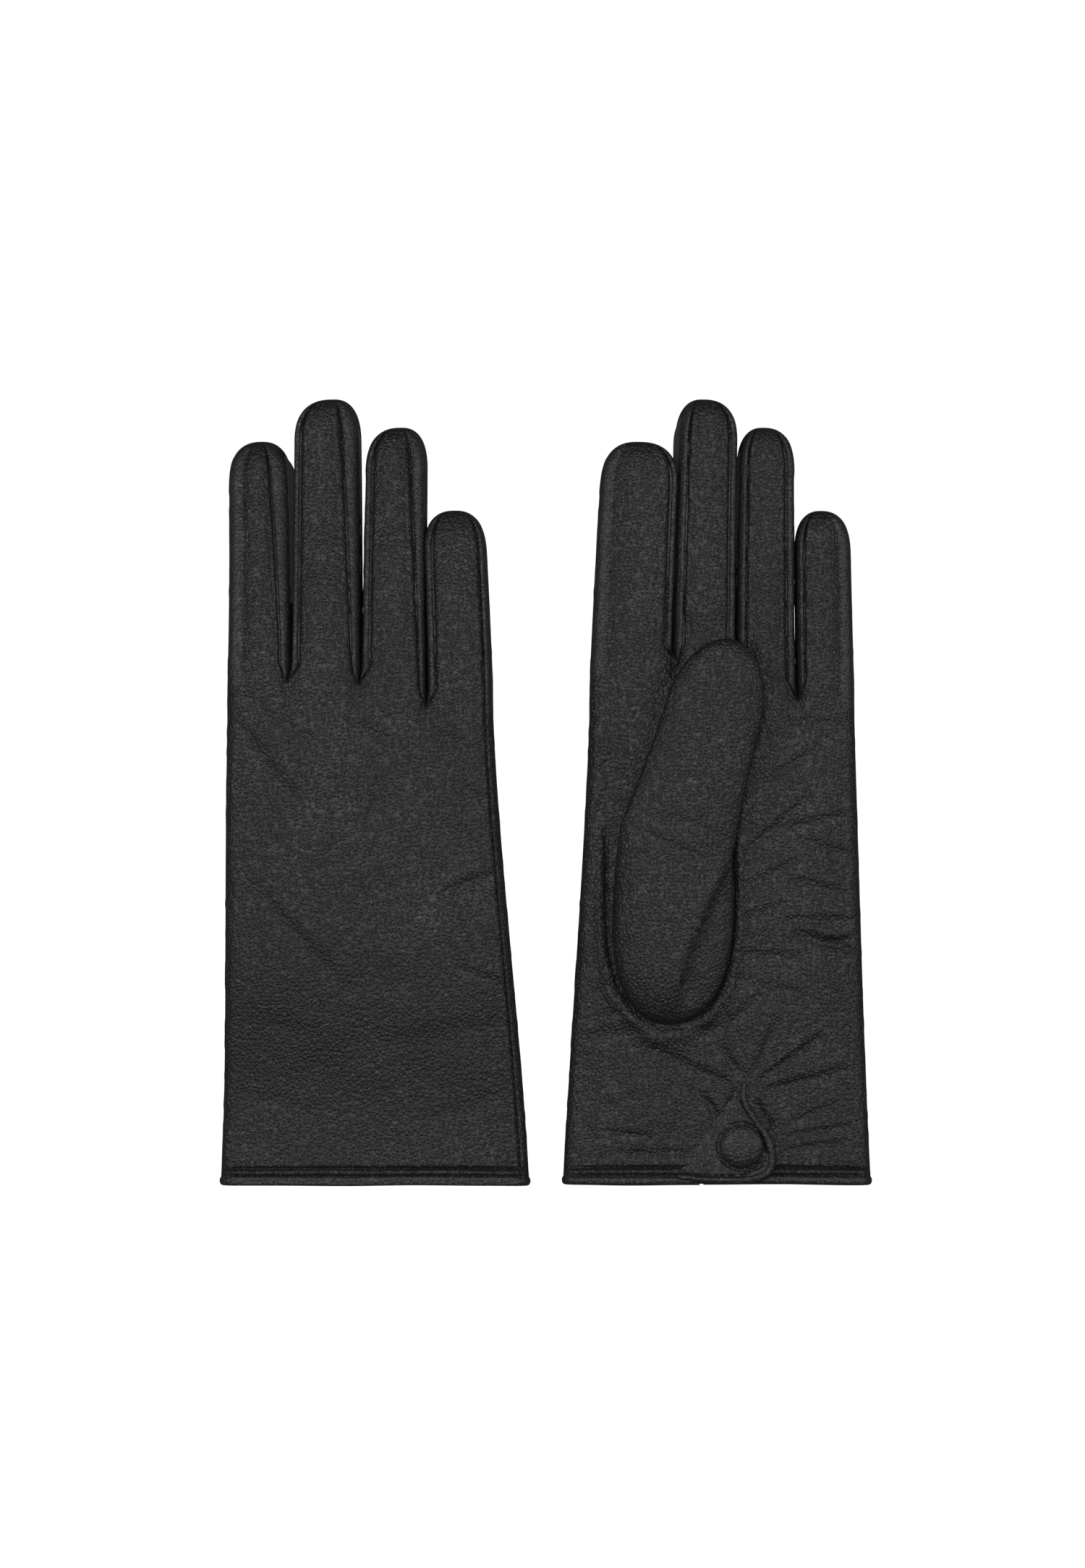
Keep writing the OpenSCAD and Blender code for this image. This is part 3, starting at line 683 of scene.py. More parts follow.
def lining_section(g, middle, half, y, inset, power=3.2, cols=64, shrink=1.0):
    """A superellipse across the glove, drawn in by inset from the leather's outside."""
    a = np.linspace(0, 2 * math.pi, cols, endpoint=False)[None, :]
    c = np.sign(np.cos(a)) * np.abs(np.cos(a)) ** (2 / power)
    s = np.sign(np.sin(a)) * np.abs(np.sin(a)) ** (2 / power)
    y = np.asarray(y)[:, None]
    h = g.thick(y) / 2
    x = middle[:, None] + (half[:, None] - inset) * c * shrink
    return g.place(x, y + 0 * a, h + (h - inset) * s * shrink * (1 - 0.42 * between(3, 14, y)))


def make_linings(g, look):
    """A knitted tube inside the hand, one in each finger and one in the thumb."""
    out, back = wanted("leather") + LINING_GAP, wanted("leather") + LINING_GAP + LINING
    y = np.concatenate([np.linspace(1.0, 60, 50), np.linspace(62, 154, 30)])
    half = PALM_HALF * half_width(y)
    shell = Shell()
    sides = [lining_section(g, 0 * y, half, y, inset, 4.5, 160) for inset in (out, back)]
    tube_pair(shell, *sides, False)
    piece = shell.make(f"{g.hand}_hand_knit")
    dress(piece, look["knit"])
    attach(piece, f"{g.hand}_hand")
    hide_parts(f"{g.hand}_hand_lining")
    for k, finger in enumerate(FINGERS):
        y = np.linspace(g.creases[k] - 9, g.tips[k] - 4.5, 40)
        d = g.tips[k] - y - 3.4
        round_off = np.where(d < 11, (1 - (1 - np.clip(d / 11, 0, 1)) ** 2.2) ** (1 / 2.2), 1)[:, None]
        middle = (PALM_EDGES[k] + PALM_EDGES[k + 1]) / 2 * half_width(y)
        half = (PALM_EDGES[k + 1] - PALM_EDGES[k]) / 2 * half_width(y)
        shell = Shell()
        outer = lining_section(g, middle, half, y, out + 0.9, 3.0, 40, round_off)
        inner = lining_section(g, middle, half, y, back + 0.9, 3.0, 40, round_off)
        tube_pair(shell, outer, inner[:-1], False)
        piece = shell.make(f"{g.hand}_{finger}_knit")
        dress(piece, look["knit"])
        bend(piece)
        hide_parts(f"{g.hand}_{finger}_lining")
    shell = Shell()
    tip = 64 - 22 * (1 - np.sin(math.pi / 2 * np.linspace(0.02, 0.94, 16)))
    s = np.concatenate([np.linspace(-6, 40, 24), tip])
    tube_pair(shell, thumb_grid(g, s, 1.4, 40), thumb_grid(g, s, 2.0, 40), False)
    piece = shell.make(f"{g.hand}_thumb_knit")
    dress(piece, look["knit"])
    a = g.place(THUMB_AT[0] - 4 * math.sin(THUMB_LEAN), THUMB_AT[1] - 4 * math.cos(THUMB_LEAN), 15.0)
    b = g.place(THUMB_AT[0] + 4 * math.sin(THUMB_LEAN), THUMB_AT[1] + 4 * math.cos(THUMB_LEAN), 15.0)
    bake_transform(piece)
    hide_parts(f"{g.hand}_thumb_lining")


# --------------------------------------------------------------- hem, vent, snap
def make_hem(g, look):
    """The rolled edge: a rounded section carried round the cuff, open at the vent."""
    shell = Shell()
    half = 42.2 * float(half_width(np.array(1.2)))
    h = CUFF_T / 2
    flat = half - h
    lo, hi = -5.6, -4.4
    n = 90
    right = np.stack([np.linspace(hi, flat, n), np.full(n, 2 * h), np.zeros(n), np.ones(n)], -1)
    turn = np.linspace(math.pi / 2, -math.pi / 2, 24)[1:-1]
    arc_r = np.stack([flat + h * np.cos(turn), h + h * np.sin(turn), np.cos(turn), np.sin(turn)], -1)
    below = np.stack([np.linspace(flat, -flat, 2 * n), np.zeros(2 * n), np.zeros(2 * n), -np.ones(2 * n)], -1)
    turn = np.linspace(-math.pi / 2, -3 * math.pi / 2, 24)[1:-1]
    arc_l = np.stack([-flat + h * np.cos(turn), h + h * np.sin(turn), np.cos(turn), np.sin(turn)], -1)
    left = np.stack([np.linspace(-flat, lo, n), np.full(n, 2 * h), np.zeros(n), np.ones(n)], -1)
    path = np.concatenate([right, arc_r, below, arc_l, left])
    run = np.arange(len(path))
    a = np.linspace(0, 2 * math.pi, 16, endpoint=False)[None, :]
    depth = -0.55 + 0.98 * np.cos(a) * (1 + 0.06 * ripple(run[:, None] * 0.7, 0 * run[:, None], 6, 61))
    wave = 0.35 * ripple(run[:, None] * 0.5, 0 * run[:, None], 22, 62)
    y = 1.45 + wave + 1.45 * np.sin(a)
    x = path[:, 0:1] + path[:, 2:3] * depth
    z = path[:, 1:2] + path[:, 3:4] * depth
    grid = g.place(x, y + 0 * x, np.clip(z, -0.0, None))
    shell.sheet(grid, 0.5, wrap=True)
    for end in (0, -1):
        shell.sheet(np.stack([grid[end], np.broadcast_to(grid[end].mean(0), grid[end].shape)]), 0.5, wrap=True)
    piece = shell.make(f"{g.hand}_rolled_hem")
    dress(piece, look["leather"])
    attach(piece, f"{g.hand}_hand")
    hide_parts(f"{g.hand}_cuff_binding")


FOLD = FOLD_FOOT - VENT_TOP
FOLD_LEN = float(np.hypot(*FOLD))
FOLD = FOLD / FOLD_LEN
FOLD_OUT = np.array([-FOLD[1], FOLD[0]])


def piping_line(t):
    """The flap's free edge: a smooth curve through given points, from the vent's upper end round the button and back
    along the hem.
    Catmull-Rom cubics."""
    pts = np.array([(11.0, 35.5), (8.6, 32.6), (8.3, 27.4), (11.4, 21.6), (15.4, 15.8), (17.4, 9.6), (16.2, 4.4),
                    (11.0, 2.1), (3.0, 1.7), (-5.0, 2.0), (-12.4, 2.7), (-16, 2.9)])
    u = t * (len(pts) - 3)
    i = np.minimum(u.astype(int), len(pts) - 4)
    f = (u - i)[:, None]
    p0, p1, p2, p3 = (pts[i + j] for j in range(4))
    return 0.5 * (2 * p1 + (p2 - p0) * f + (2 * p0 - 5 * p1 + 4 * p2 - p3) * f ** 2
                  + (3 * p1 - p0 - 3 * p2 + p3) * f ** 3)


def flap_height(out):
    """Underside of the flap: it climbs from the palm onto the snap as ease()."""
    return CUFF_T - 0.85 + 2.75 * ease(out / 11)


def make_flap(g, look):
    """The vent's flap from its fold to its piped edge, and the piping itself."""
    t = np.linspace(0, 1, 110)
    edge = piping_line(t)
    foot = VENT_TOP + np.clip((edge - VENT_TOP) @ FOLD, 0.3, FOLD_LEN - 0.3)[:, None] * FOLD
    share = np.linspace(0, 1, 40)[None, :, None]
    flat = foot[:, None] * (1 - share) + edge[:, None] * share
    x, y = flat[..., 0], flat[..., 1]
    out = (flat - VENT_TOP) @ FOLD_OUT
    z = flap_height(out)
    s = np.linalg.norm(edge[:, None] - flat, axis=-1)
    dome = 0.55 * bell(np.hypot(x - 5.0, y - 19), 8) + 0.25 * ripple(x, y, 6, 71) * between(0, 4, out)
    dome = dome - 0.45 * bell(s - 2.6, 0.45) + 0.2 * bell(s - 3.4, 0.6)
    round_button = np.hypot(x - SNAP_AT[0], y - SNAP_AT[1])
    dome = dome - 0.5 * bell(round_button, 7.5) - 0.75 * bell(round_button - 7.1, 0.8)
    dome = dome * between(0, 3, out)
    shell = Shell()
    top, low = g.place(x, y, z + wanted("leather") + dome), g.place(x, y, z + dome * 0.6)
    shell.sheet(top, 0.2)
    shell.sheet(low, 1.0)
    for a, b in ((top[:, 0], low[:, 0]), (top[:, -1], low[:, -1]), (top[0], low[0]), (top[-1], low[-1])):
        shell.rim(a, b)
    way = np.gradient(edge, axis=0)
    way /= np.linalg.norm(way, axis=1, keepdims=True)
    inward = np.stack([way[:, 1], -way[:, 0]], -1)
    flip = np.sign(((foot - edge) * inward).sum(1, keepdims=True) + 1e-9)
    inward = inward * np.where(flip[30] == 0, 1, flip[30])
    line = edge + inward * 2.6
    keep = slice(12, 80)
    line_z = flap_height((line - VENT_TOP) @ FOLD_OUT) + wanted("leather") + 0.1
    stitches(shell, g.place(line[keep, 0], line[keep, 1], line_z[keep]))
    piece = shell.make(f"{g.hand}_flap_leather")
    dress(piece, look["leather"], look["thread"])
    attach(piece, f"{g.hand}_flap")
    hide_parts(f"{g.hand}_vent_flap")
    shell = Shell()
    a = np.linspace(0, 2 * math.pi, 16, endpoint=False)[None, :]
    thinned = (np.sin(math.pi * np.clip(t, 0.015, 0.985)) ** 0.16)[:, None]
    r = wanted("piping_radius") * thinned * (1 + 0.05 * ripple(t[:, None] * 60, 0 * t[:, None], 2.2, 72))
    z0 = np.maximum(flap_height((edge - VENT_TOP) @ FOLD_OUT), CUFF_T + 0.2)[:, None] + wanted("leather") / 2
    px = edge[:, :1] + inward[:, :1] * np.cos(a) * r
    py = edge[:, 1:] + inward[:, 1:] * np.cos(a) * r
    grid = g.place(px, py, z0 + np.sin(a) * r * 1.0)
    shell.sheet(grid, 0.4, wrap=True)
    for end in (0, -1):
        shell.sheet(np.stack([grid[end], np.broadcast_to(grid[end].mean(0), grid[end].shape)]), 0.4, wrap=True)
    piece = shell.make(f"{g.hand}_flap_piping")
    dress(piece, look["leather"])
    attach(piece, f"{g.hand}_flap")
    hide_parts(f"{g.hand}_vent_piping")


def make_button(g, look):
    """The covered button: a profile turned round the snap's axis, with a rolled rim,
    a dome of a circle's arc and the leather gathered below."""
    a = np.linspace(0, 2 * math.pi, 72, endpoint=False)[None, :]
    u = np.linspace(0, 1, 30)
    rim = wanted("button_radius")
    dome_r = rim * np.sin(math.pi / 2 * (1 - u))
    dome_z = 0.45 + 2.0 * np.clip(1 - (dome_r / rim) ** 2.8, 0, 1) ** 0.6
    prof_r = np.concatenate([[0.0, 3.0, rim - 0.9, rim - 0.3], dome_r])
    prof_z = np.concatenate([[0.0, 0.0, 0.05, 0.2], dome_z])
    r = prof_r[:, None] * (1 + 0.006 * np.cos(9 * a) * (prof_z < 1.2)[:, None])
    base = CUFF_T + 1.9 + wanted("leather") - 0.15
    grid = g.place(SNAP_AT[0] + r * np.cos(a), SNAP_AT[1] + r * np.sin(a), base + prof_z[:, None] + 0 * a)
    shell = Shell()
    shell.sheet(grid, 0.35, wrap=True)
    piece = shell.make(f"{g.hand}_covered_button")
    dress(piece, look["leather"])
    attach(piece, f"{g.hand}_flap")
    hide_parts(f"{g.hand}_button_cover")


# -------------------------------------------------------------------- materials
def node(tree, kind, **values):
    """A node with its settings, and its inputs by name or number."""
    made = tree.nodes.new(kind)
    inputs = values.pop("inputs", {})
    for key, value in values.items():
        setattr(made, key, value)
    for key, value in inputs.items():
        if hasattr(value, "is_output") or hasattr(value, "links"):
            tree.links.new(value, made.inputs[key])
        else:
            made.inputs[key].default_value = value
    return made


def math_node(tree, operation, a, b=0.0, clamp=False):
    return node(tree, "ShaderNodeMath", operation=operation, use_clamp=clamp, inputs={0: a, 1: b}).outputs[0]


def grain_group():
    """Leather grain on Object coordinates. Puts out a height of pebbles parted by fine
    furrows, with pores in them, and a slow variation of tone from 0 to 1."""
    tree = bpy.data.node_groups.new("Leather grain", "ShaderNodeTree")
    face = tree.interface
    for name, value in (("Pebbles per metre", 900.0), ("Softness", 0.0)):
        face.new_socket(name, in_out="INPUT", socket_type="NodeSocketFloat").default_value = value
    for name in ("Height", "Tone", "Furrow"):
        face.new_socket(name, in_out="OUTPUT", socket_type="NodeSocketFloat")
    inp, out = node(tree, "NodeGroupInput"), node(tree, "NodeGroupOutput")
    place = node(tree, "ShaderNodeTexCoord").outputs["Object"]
    warp = node(tree, "ShaderNodeTexNoise", inputs={"Vector": place, "Scale": 420.0, "Detail": 2.0})
    shift = node(tree, "ShaderNodeVectorMath", operation="MULTIPLY_ADD",
                 inputs={0: warp.outputs["Color"], 1: (0.0011, 0.0011, 0.0011), 2: place}).outputs[0]
    cells = node(tree, "ShaderNodeTexVoronoi", feature="DISTANCE_TO_EDGE",
                 inputs={"Vector": shift, "Scale": inp.outputs[0]})
    edge = node(tree, "ShaderNodeMapRange", interpolation_type="SMOOTHSTEP",
                inputs={"Value": cells.outputs["Distance"], "From Min": 0.0, "From Max": 0.34}).outputs[0]
    blobs = node(tree, "ShaderNodeTexVoronoi", feature="SMOOTH_F1",
                 inputs={"Vector": shift, "Scale": inp.outputs[0], "Smoothness": 0.45})
    dome = math_node(tree, "SUBTRACT", 1.0, blobs.outputs["Distance"])
    fine = node(tree, "ShaderNodeTexNoise", inputs={"Vector": place, "Scale": 3600.0, "Detail": 2.0}).outputs[0]
    height = math_node(tree, "ADD", math_node(tree, "MULTIPLY", edge, 0.55),
                       math_node(tree, "MULTIPLY", dome, 0.6))
    height = math_node(tree, "ADD", height, math_node(tree, "MULTIPLY", fine, 0.16))
    keep = math_node(tree, "SUBTRACT", 1.0, math_node(tree, "MULTIPLY", inp.outputs[1], 0.72), True)
    tone = node(tree, "ShaderNodeTexNoise", inputs={"Vector": place, "Scale": 38.0, "Detail": 3.0, "Roughness": 0.6})
    tree.links.new(math_node(tree, "MULTIPLY", height, keep), out.inputs[0])
    tree.links.new(tone.outputs[0], out.inputs[1])
    tree.links.new(math_node(tree, "SUBTRACT", 1.0, edge), out.inputs[2])
    return tree


def new_material(name, color, roughness):
    mat = bpy.data.materials.new(name)
    mat.use_nodes = True
    tree = mat.node_tree
    shader = tree.nodes["Principled BSDF"]
    shader.inputs["Base Color"].default_value = (*color, 1)
    shader.inputs["Roughness"].default_value = roughness
    mat.diffuse_color = (*color, 1)
    return mat, tree, shader


def leather_material(grain, finish):
    mat, tree, shader = new_material("Black nappa", finish.leather_color, finish.leather_roughness)
    soft = node(tree, "ShaderNodeAttribute", attribute_name="soft").outputs["Fac"]
    group = node(tree, "ShaderNodeGroup", node_tree=grain,
                 inputs={0: finish.pebbles_per_metre, 1: soft})
    dark = tuple(c * 0.62 for c in finish.leather_color) + (1,)
    lit = tuple(c * 1.5 for c in finish.leather_color) + (1,)
    # a lighter, browner copy of the leather colour: the brown of the flesh side on the inner sheets, and a painted
    # sheen on the fingers' upper side walls; the hem, piping, button and flap take part of it
    tint_and_sheen_colour = (finish.leather_color[0] * 2.3, finish.leather_color[1] * 2.0, finish.leather_color[2] * 1.85, 1)
    tone = node(tree, "ShaderNodeMix", data_type="RGBA",
                inputs={0: group.outputs["Tone"], 6: dark, 7: lit}).outputs[2]
    tone = node(tree, "ShaderNodeMix", data_type="RGBA", inputs={0: soft, 6: tone, 7: tint_and_sheen_colour}).outputs[2]
    # Painted shade: the grain's furrows between pebbles are darkened toward near black.
    furrow_shade = math_node(tree, "MULTIPLY", group.outputs["Furrow"], 0.5)
    tone = node(tree, "ShaderNodeMix", data_type="RGBA",
                inputs={0: furrow_shade, 6: tone, 7: (0.004, 0.004, 0.004, 1)}).outputs[2]
    tree.links.new(tone, shader.inputs["Base Color"])
    rough = node(tree, "ShaderNodeMapRange", inputs={
        "Value": group.outputs["Tone"], "From Min": 0.3, "From Max": 0.7,
        "To Min": finish.leather_roughness + 0.05, "To Max": finish.leather_roughness - 0.05}).outputs[0]
    tree.links.new(rough, shader.inputs["Roughness"])
    bump = node(tree, "ShaderNodeBump",
                inputs={"Height": group.outputs["Height"], "Strength": 0.8, "Distance": 0.00038})
    tree.links.new(bump.outputs[0], shader.inputs["Normal"])
    shader.inputs["Specular IOR Level"].default_value = 0.5
    return mat


def thread_material(finish):
    mat, tree, shader = new_material("Black thread", finish.thread_color, 0.7)
    place = node(tree, "ShaderNodeTexCoord").outputs["Object"]
    twist = node(tree, "ShaderNodeTexNoise", inputs={"Vector": place, "Scale": 5200.0, "Detail": 2.0})
    dark = tuple(c * 0.5 for c in finish.thread_color) + (1,)
    tone = node(tree, "ShaderNodeMix", data_type="RGBA",
                inputs={0: twist.outputs[0], 6: dark, 7: (*finish.thread_color, 1)}).outputs[2]
    tree.links.new(tone, shader.inputs["Base Color"])
    bump = node(tree, "ShaderNodeBump", inputs={"Height": twist.outputs[0], "Strength": 0.5, "Distance": 0.0001})
    tree.links.new(bump.outputs[0], shader.inputs["Normal"])
    return mat


def knit_material(finish):
    """Fine ribbed knit: two crossed sine waves on Object coordinates."""
    mat, tree, shader = new_material("Charcoal knit", finish.knit_color, 0.9)
    place = node(tree, "ShaderNodeTexCoord").outputs["Object"]
    parts = node(tree, "ShaderNodeSeparateXYZ", inputs={0: place})
    wale = math_node(tree, "SINE", math_node(tree, "MULTIPLY", parts.outputs[0], 5200.0))
    course = math_node(tree, "SINE", math_node(tree, "MULTIPLY", parts.outputs[1], 7400.0))
    loops = math_node(tree, "MULTIPLY_ADD", wale, course)
    level = math_node(tree, "MULTIPLY", math_node(tree, "ADD", loops, 1.0), 0.5, True)
    # Painted shade: the knit is darkened between its loops, where the same height that makes the bump is low.
    dark = tuple(c * 0.45 for c in finish.knit_color) + (1,)
    tone = node(tree, "ShaderNodeMix", data_type="RGBA",
                inputs={0: level, 6: dark, 7: (*finish.knit_color, 1)}).outputs[2]
    tree.links.new(tone, shader.inputs["Base Color"])
    bump = node(tree, "ShaderNodeBump", inputs={"Height": level, "Strength": 0.6, "Distance": 0.0003})
    tree.links.new(bump.outputs[0], shader.inputs["Normal"])
    shader.inputs["Sheen Weight"].default_value = 0.3
    return mat


def metal_material(finish):
    mat, tree, shader = new_material("Satin nickel", finish.metal_color, 0.32)
    shader.inputs["Metallic"].default_value = 1.0
    place = node(tree, "ShaderNodeTexCoord").outputs["Object"]
    brush = node(tree, "ShaderNodeTexNoise", inputs={"Vector": place, "Scale": 2400.0, "Detail": 3.0})
    dark = tuple(c * 0.75 for c in finish.metal_color) + (1,)
    tone = node(tree, "ShaderNodeMix", data_type="RGBA",
                inputs={0: brush.outputs[0], 6: dark, 7: (*finish.metal_color, 1)}).outputs[2]
    tree.links.new(tone, shader.inputs["Base Color"])
    rough = node(tree, "ShaderNodeMapRange",
                 inputs={"Value": brush.outputs[0], "To Min": 0.22, "To Max": 0.42}).outputs[0]
    tree.links.new(rough, shader.inputs["Roughness"])
    return mat


def wanted(name):
    """One of the panel's sizes, in millimetres."""
    return getattr(bpy.context.scene.glove_shape, name) / MM


LOOK = {}


def looks():
    """The four materials, made once."""
    if not LOOK:
        finish = bpy.context.scene.glove_finish
        grain = grain_group()
        LOOK.update(leather=leather_material(grain, finish), thread=thread_material(finish),
                    knit=knit_material(finish), metal=metal_material(finish))
    return LOOK


# ------------------------------------------------------------------- properties
class GloveShape(bpy.types.PropertyGroup):
    """Sizes of the sewn details."""
    leather: bpy.props.FloatProperty(
        name="Leather", description="Thickness of the leather", default=0.0008, min=0.0004, max=0.0016,
        unit="LENGTH", precision=5)
    seam_depth: bpy.props.FloatProperty(
        name="Seam depth", description="How deep a sewn seam sinks", default=0.0007, min=0.0, max=0.0015,
        unit="LENGTH", precision=5)
    seam_width: bpy.props.FloatProperty(
        name="Seam width", description="Half width of a sewn seam's groove", default=0.00045, min=0.0002,
        max=0.001, unit="LENGTH", precision=5)
    stitch_pitch: bpy.props.FloatProperty(
        name="Stitch pitch", description="From one stitch to the next", default=0.00155, min=0.001, max=0.004,
        unit="LENGTH", precision=5)
    thread_radius: bpy.props.FloatProperty(
        name="Thread radius", description="Radius of the sewing thread", default=0.0002, min=0.0001, max=0.0005,
        unit="LENGTH", precision=5)
    piping_radius: bpy.props.FloatProperty(
        name="Piping radius", description="Radius of the flap's piped edge", default=0.00125, min=0.0006,
        max=0.0018, unit="LENGTH", precision=5)
    button_radius: bpy.props.FloatProperty(
        name="Button radius", description="Radius of the covered button", default=0.0069, min=0.005, max=0.009,
        unit="LENGTH", precision=4)


class GloveFinish(bpy.types.PropertyGroup):
    """Colours and finish of the materials."""
    leather_color: bpy.props.FloatVectorProperty(
        name="Leather", description="Colour of the glove leather", subtype="COLOR", size=3, min=0, max=1,
        default=(0.017, 0.017, 0.0172))
    leather_roughness: bpy.props.FloatProperty(
        name="Leather roughness", description="Roughness of the leather's finish", default=0.43, min=0.1, max=1,
        subtype="FACTOR")
    pebbles_per_metre: bpy.props.FloatProperty(
        name="Pebbles", description="Grain pebbles in a metre of leather", default=820, min=300, max=3000)
    thread_color: bpy.props.FloatVectorProperty(
        name="Thread", description="Colour of the sewing thread", subtype="COLOR", size=3, min=0, max=1,
        default=(0.007, 0.007, 0.0075))
    knit_color: bpy.props.FloatVectorProperty(
        name="Lining", description="Colour of the knitted lining", subtype="COLOR", size=3, min=0, max=1,
        default=(0.03, 0.03, 0.032))
    metal_color: bpy.props.FloatVectorProperty(
        name="Snap metal", description="Colour of the snap's plating", subtype="COLOR", size=3, min=0, max=1,
        default=(0.56, 0.55, 0.53))


class GloveStage(bpy.types.PropertyGroup):
    """The floor, lights and camera."""
    side_light: bpy.props.FloatProperty(
        name="Side lights", description="Power of each side softbox", default=9, min=0, unit="POWER")
    top_light: bpy.props.FloatProperty(
        name="Top light", description="Power of the overhead softbox", default=17, min=0, unit="POWER")
    camera_height: bpy.props.FloatProperty(
        name="Camera height", description="Height of the camera above the floor", default=2.5, min=0.5, unit="LENGTH")
    view_height: bpy.props.FloatProperty(
        name="View height", description="Length of floor that the picture takes in", default=0.4984, min=0.1,
        unit="LENGTH")


# -------------------------------------------------------------------- operators
class GLOVES_OT_leather(bpy.types.Operator):
    """Make the leather of both hands and of their fingers"""
    bl_idname = "gloves.leather"
    bl_label = "Hands and fingers"

    def execute(self, context):
        for hand in HANDS:
            make_leather(Glove(hand), looks())
        return {"FINISHED"}


class GLOVES_OT_thumbs(bpy.types.Operator):
    """Make both thumbs and their sewn bases"""
    bl_idname = "gloves.thumbs"
    bl_label = "Thumbs"

    def execute(self, context):
        for hand in HANDS:
            make_thumb(Glove(hand), looks())
        return {"FINISHED"}


class GLOVES_OT_linings(bpy.types.Operator):
    """Make the knitted linings of the hands, fingers and thumbs"""
    bl_idname = "gloves.linings"
    bl_label = "Linings"

    def execute(self, context):
        for hand in HANDS:
            make_linings(Glove(hand), looks())
        return {"FINISHED"}


class GLOVES_OT_hems(bpy.types.Operator):
    """Make the rolled hems of the cuffs"""
    bl_idname = "gloves.hems"
    bl_label = "Hems"

    def execute(self, context):
        for hand in HANDS:
            make_hem(Glove(hand), looks())
        return {"FINISHED"}


class GLOVES_OT_flaps(bpy.types.Operator):
    """Make the vents' flaps and their piping"""
    bl_idname = "gloves.flaps"
    bl_label = "Vent flaps"

    def execute(self, context):
        for hand in HANDS:
            make_flap(Glove(hand), looks())
        return {"FINISHED"}


class GLOVES_OT_buttons(bpy.types.Operator):
    """Make the covered buttons, and plate the snaps below them"""
    bl_idname = "gloves.buttons"
    bl_label = "Buttons and snaps"

    def execute(self, context):
        for hand in HANDS:
            make_button(Glove(hand), looks())
            for part in ("snap_stud", "stud_washer", "snap_socket"):
                data = frame["nodes"][f"{hand}_{part}"].data
                data.materials.clear()
                data.materials.append(looks()["metal"])
        return {"FINISHED"}


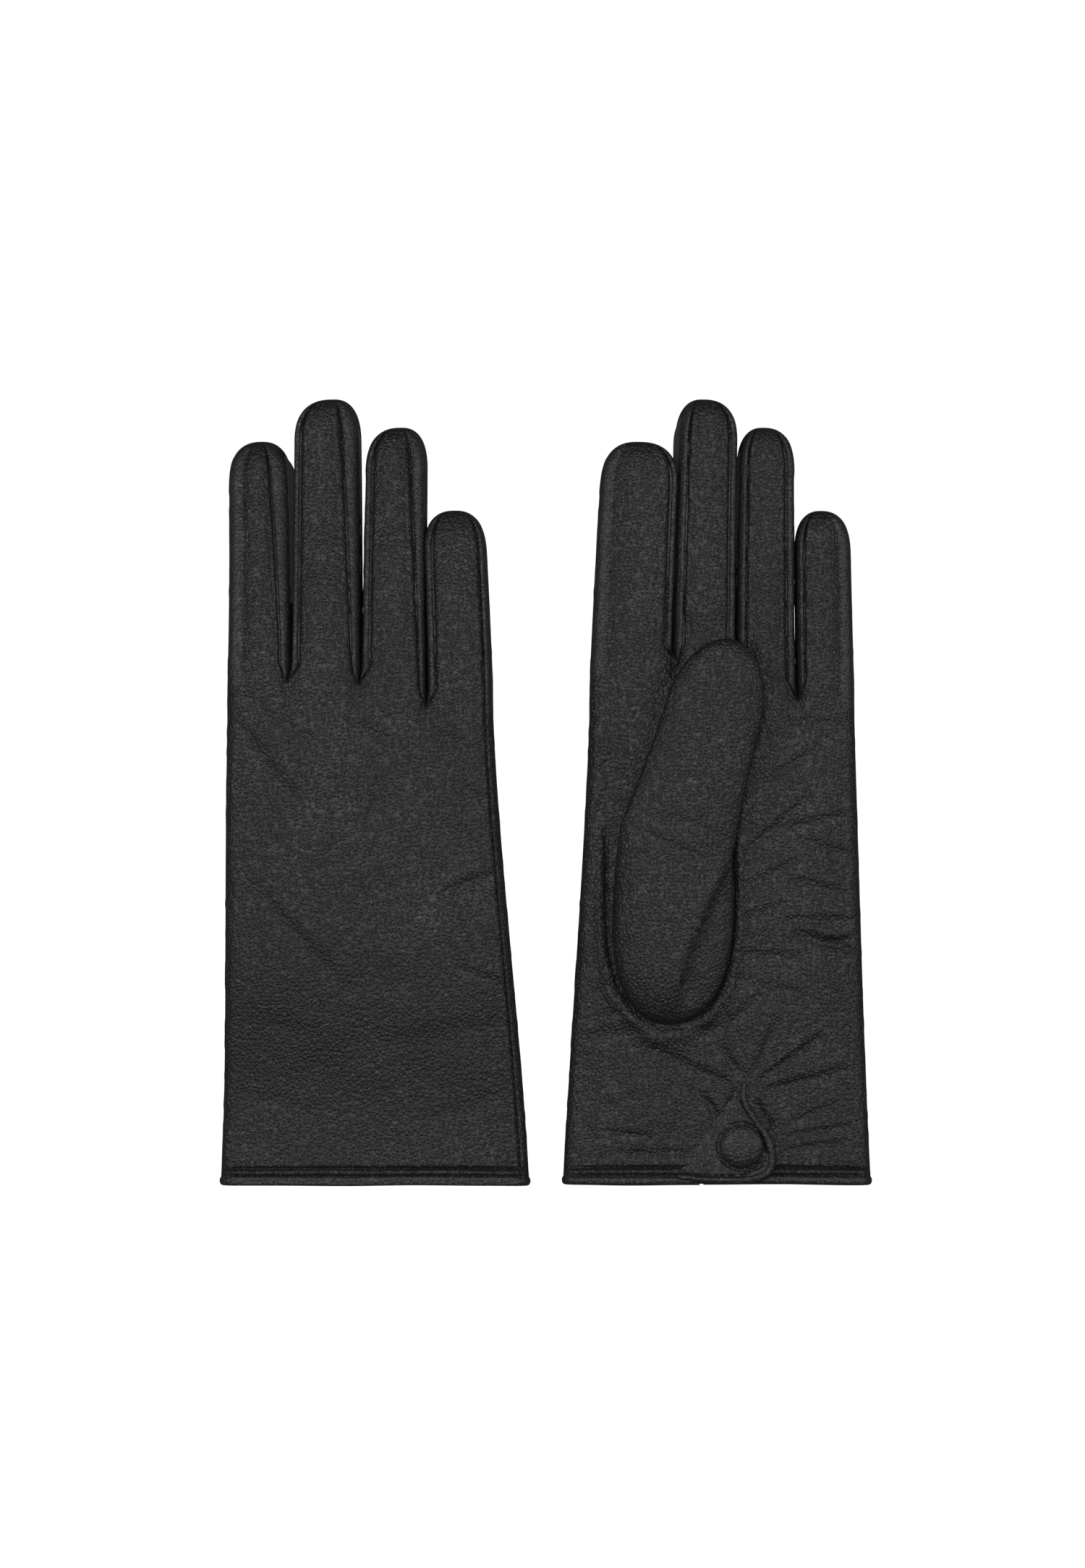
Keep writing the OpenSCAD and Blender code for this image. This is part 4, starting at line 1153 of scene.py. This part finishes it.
class GLOVES_OT_stage(bpy.types.Operator):
    """Make the pale floor, the studio softboxes and the camera straight above"""
    bl_idname = "gloves.stage"
    bl_label = "Stage"

    def execute(self, context):
        scene = context.scene
        stage = scene.glove_stage
        mesh = bpy.data.meshes.new("Floor")
        reach = 30.0
        mesh.from_pydata([(-reach, -reach, 0), (reach, -reach, 0), (reach, reach, 0), (-reach, reach, 0)], [],
                         [(0, 1, 2, 3)])
        floor = bpy.data.objects.new("Floor", mesh)
        floor.location.z = -0.0003
        scene.collection.objects.link(floor)
        mat, tree, shader = new_material("Pale floor", (0.12, 0.12, 0.12), 0.9)
        glow = node(tree, "ShaderNodeEmission", inputs={"Color": (1, 1, 1, 1), "Strength": 1.12})
        path = node(tree, "ShaderNodeLightPath").outputs["Is Camera Ray"]
        share = math_node(tree, "MULTIPLY", path, 0.93)
        blend = node(tree, "ShaderNodeMixShader", inputs={0: share, 1: shader.outputs[0], 2: glow.outputs[0]})
        tree.links.new(blend.outputs[0], tree.nodes["Material Output"].inputs["Surface"])
        mesh.materials.append(mat)
        floor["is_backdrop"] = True
        world = bpy.data.worlds.new("Studio")
        world.use_nodes = True
        world.node_tree.nodes["Background"].inputs[0].default_value = (1, 1, 1, 1)
        world.node_tree.nodes["Background"].inputs[1].default_value = 0.05
        scene.world = world
        for name, place, size, power in (
                ("Left softbox", (-1.35, 0.15, 1.25), (0.9, 1.5), stage.side_light),
                ("Right softbox", (1.35, 0.15, 1.25), (0.9, 1.5), stage.side_light),
                ("Top softbox", (-0.1, 0.5, 2.3), (0.9, 0.6), stage.top_light)):
            light = bpy.data.lights.new(name, "AREA")
            light.shape, light.size, light.size_y, light.energy = "RECTANGLE", size[0], size[1], power
            lamp = bpy.data.objects.new(name, light)
            lamp.location = place
            lamp.rotation_euler = Vector([-v for v in place]).to_track_quat("-Z", "Y").to_euler()
            scene.collection.objects.link(lamp)
        camera = bpy.data.cameras.new("Camera")
        camera.sensor_fit = "VERTICAL"
        camera.sensor_height = 36
        camera.lens = 36 * (stage.camera_height - 0.01) / stage.view_height
        camera.dof.use_dof = False
        low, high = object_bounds()
        eye = bpy.data.objects.new("Camera", camera)
        eye.location = ((low[0] + high[0]) / 2 - 0.00115, (low[1] + high[1]) / 2 + 0.00253, stage.camera_height)
        scene.collection.objects.link(eye)
        scene.camera = eye
        scene.view_settings.view_transform = "Standard"
        return {"FINISHED"}


OPERATORS = (GLOVES_OT_leather, GLOVES_OT_thumbs, GLOVES_OT_linings, GLOVES_OT_hems, GLOVES_OT_flaps,
             GLOVES_OT_buttons, GLOVES_OT_stage)


class GLOVES_PT_panel(bpy.types.Panel):
    """Lists the finishes, the stage and the operators"""
    bl_idname = "GLOVES_PT_panel"
    bl_label = "Leather Dress Gloves"
    bl_space_type = "VIEW_3D"
    bl_region_type = "UI"
    bl_category = "Gloves"

    def draw(self, context):
        for group in (context.scene.glove_shape, context.scene.glove_finish, context.scene.glove_stage):
            column = self.layout.column()
            for name in group.__annotations__:
                column.prop(group, name)
        for operator in OPERATORS:
            self.layout.operator(operator.bl_idname)


CLASSES = (GloveShape, GloveFinish, GloveStage, *OPERATORS, GLOVES_PT_panel)


def register():
    for cls in CLASSES:
        bpy.utils.register_class(cls)
    bpy.types.Scene.glove_shape = bpy.props.PointerProperty(type=GloveShape)
    bpy.types.Scene.glove_finish = bpy.props.PointerProperty(type=GloveFinish)
    bpy.types.Scene.glove_stage = bpy.props.PointerProperty(type=GloveStage)


def unregister():
    del bpy.types.Scene.glove_shape, bpy.types.Scene.glove_finish, bpy.types.Scene.glove_stage
    for cls in reversed(CLASSES):
        bpy.utils.unregister_class(cls)


def main():
    register()
    bpy.ops.gloves.stage()
    bpy.ops.gloves.leather()
    bpy.ops.gloves.thumbs()
    bpy.ops.gloves.linings()
    bpy.ops.gloves.hems()
    bpy.ops.gloves.flaps()
    bpy.ops.gloves.buttons()
    bpy.context.view_layer.update()


if __name__ == "__main__":
    main()
